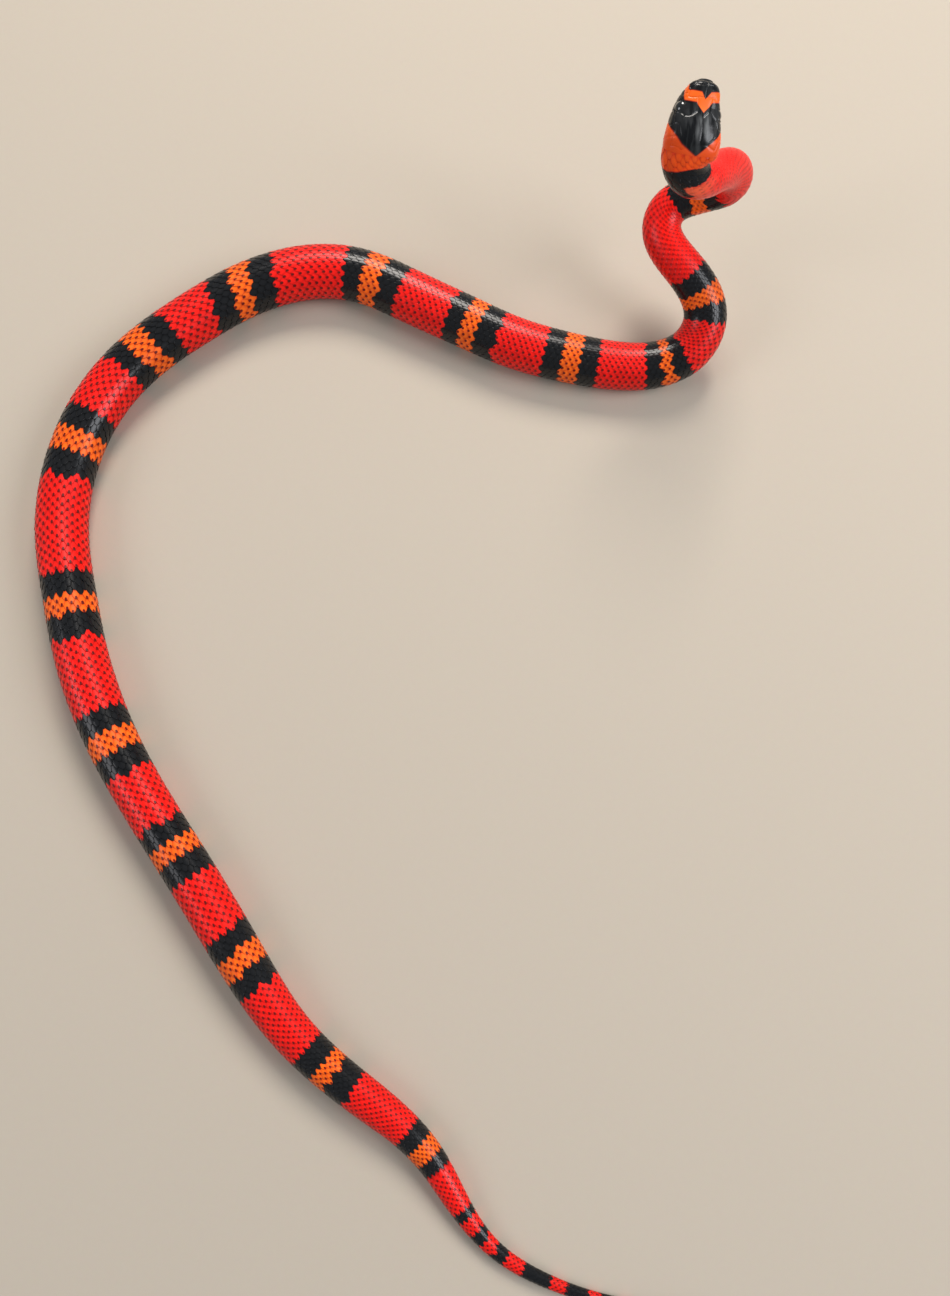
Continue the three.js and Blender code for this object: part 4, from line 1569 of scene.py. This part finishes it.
@dataclass
class Eyes:
    """The two eyes, round and lidless, each under its clear fixed scale.

    Attributes:
        radius: Radius of the ball.
        place: Distance of the eyes from the snout.
        lift: Degrees by which they look upwards.
        segments: Facets round the ball.
    """

    body: Body
    radius: float = 2.4
    place: float = 11.6
    lift: float = 28.0
    segments: int = 48

    def build(self, material: bpy.types.Material) -> list[bpy.types.Object]:
        """Builds both eyes round the centres of their solids."""
        return [self._ball(name, side, material) for name, side in (("eye_left", 1), ("eye_right", -1))]

    def _ball(self, name: str, side: int, material: bpy.types.Material) -> bpy.types.Object:
        """Builds one eye, with the front pole of its map facing outwards."""
        low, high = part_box(name)
        frame = self.body.frames[int(self.place / self.body.step)]
        up, left = Vector(frame[3:6]), Vector(frame[6:9])
        tilt = math.radians(self.lift)
        outward = left * side * math.cos(tilt) + up * math.sin(tilt)
        turn = Vector((0, 0, 1)).rotation_difference(outward).to_matrix().to_4x4()
        radius = self.radius * MM
        bm = bmesh.new()
        round_parts = self.segments
        bmesh.ops.create_uvsphere(bm, u_segments=round_parts, v_segments=round_parts // 2, radius=radius)
        heights = np.array([vertex.co.z / (2 * radius) + 0.5 for vertex in bm.verts])
        bmesh.ops.transform(bm, matrix=Matrix.Translation((low + high) / 2) @ turn, verts=bm.verts)
        mesh = bpy.data.meshes.new(f"{name}_ball")
        bm.to_mesh(mesh)
        bm.free()
        mesh.shade_smooth()
        height = heights[loop_vertices(mesh)]
        store_map(mesh, "eye", np.stack([np.full_like(height, 0.5), height], axis=-1))
        return link_object(f"{name}_ball", mesh, material)


@dataclass(frozen=True)
class Lamp:
    """A soft round lamp that points at the middle of the floor: its place and size are in metres."""

    name: str
    place: tuple[float, float, float]
    size: float
    power: float
    colour: str

    def build(self) -> None:
        """Hangs the lamp."""
        light = bpy.data.lights.new(self.name, "AREA")
        light.shape = "DISK"
        light.size = self.size
        light.energy = self.power
        light.color = linear(self.colour)[:3]
        lamp = bpy.data.objects.new(self.name, light)
        lamp.location = self.place
        lamp.rotation_euler = (-Vector(self.place)).to_track_quat("-Z", "Y").to_euler()
        bpy.context.scene.collection.objects.link(lamp)


@dataclass
class Studio:
    """Pale floor, soft lights, and the camera where the photograph was taken from.

    Attributes:
        camera_place: Camera in metres, above the floor.
        camera_tilt: Degrees by which it leans from looking straight down.
        focal: Focal length on a picture as high as film, in millimetres.
        near: Nearest distance that the camera shows, in metres.
        floor_size: Side of the floor in metres.
        floor_parts: Facets along it.
        sky: Colour of the soft light from all round.
        sky_strength: Strength of that light.
    """

    camera_place: tuple[float, float, float] = (0.0335, -0.0325, 0.350)
    camera_tilt: float = 10.0
    focal: float = 27.03
    film: float = 36.0
    near: float = 0.01
    floor_size: float = 4.0
    floor_parts: int = 8
    lamps: tuple[Lamp, ...] = (
        Lamp("key", (0.15, 0.95, 0.85), 0.5, 12.5, "FFF8F0"),
        Lamp("left", (-0.95, -0.1, 0.75), 0.6, 3.5, "FBFAFF"),
        Lamp("right", (1.0, -0.05, 0.8), 0.7, 10.0, "F9FAFF"),
    )
    sky: str = "DDE3EA"
    sky_strength: float = 0.46

    def build(self, paper: bpy.types.Material) -> None:
        """Sets up floor, lights, world and camera."""
        self._floor(paper)
        for lamp in self.lamps:
            lamp.build()
        self._sky()
        self._camera()

    def _floor(self, paper: bpy.types.Material) -> None:
        """Lays the floor."""
        bm = bmesh.new()
        parts = self.floor_parts
        bmesh.ops.create_grid(bm, x_segments=parts, y_segments=parts, size=self.floor_size / 2)
        mesh = bpy.data.meshes.new("floor")
        bm.to_mesh(mesh)
        bm.free()
        link_object("floor", mesh, paper)

    def _sky(self) -> None:
        """Lights the scene softly from all round."""
        world = bpy.data.worlds.new("studio")
        world.use_nodes = True
        background = world.node_tree.nodes["Background"]
        background.inputs["Color"].default_value = linear(self.sky)
        background.inputs["Strength"].default_value = self.sky_strength
        bpy.context.scene.world = world
        bpy.context.scene.view_settings.view_transform = "Standard"

    def _camera(self) -> None:
        """Sets the camera at the photograph's viewing angle."""
        lens = bpy.data.cameras.new("camera")
        lens.sensor_fit = "VERTICAL"
        lens.sensor_height = self.film
        lens.lens = self.focal
        lens.clip_start = self.near
        camera = bpy.data.objects.new("camera", lens)
        camera.location = self.camera_place
        camera.rotation_euler = (math.radians(self.camera_tilt), 0, 0)
        bpy.context.scene.collection.objects.link(camera)
        bpy.context.scene.camera = camera


def main() -> None:
    """Builds the animal in order: form, skin, shields, scales, eyes, studio."""
    logging.basicConfig(level=logging.INFO, format="%(message)s")
    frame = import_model()
    body = Body()
    markings = Markings()
    flesh = tuple(name for name in frame["nodes"] if not name.startswith("eye"))
    LOG.info("length %.1f mm", body.length)
    between = ScaleKeratin("skin_between_scales", red="B00C07", orange="B8420E", roughness=0.5)
    # The head shields carry painted grey reflection streaks along the crown.
    plate = ScaleKeratin("head_shield_keratin", red="DC1A0C", orange="F0600E", drawing=Drawing.STREAKED)
    finish_piece(Skin(body, markings).build(between.make()), flesh)
    finish_piece(HeadShields(body, markings).build(plate.make()))
    dotted = ScaleKeratin("scale_keratin", drawing=Drawing.SPOTTED).make()
    plates = ScaleKeratin("belly_plate_keratin").make()
    for piece in Coat(body, markings).build(dotted, plates):
        finish_piece(piece)
    for piece in Eyes(body).build(EyeGloss().make()):
        finish_piece(piece, (piece.name.removesuffix("_ball"),))
    Studio().build(PaperFloor().make())


if __name__ == "__main__":
    main()
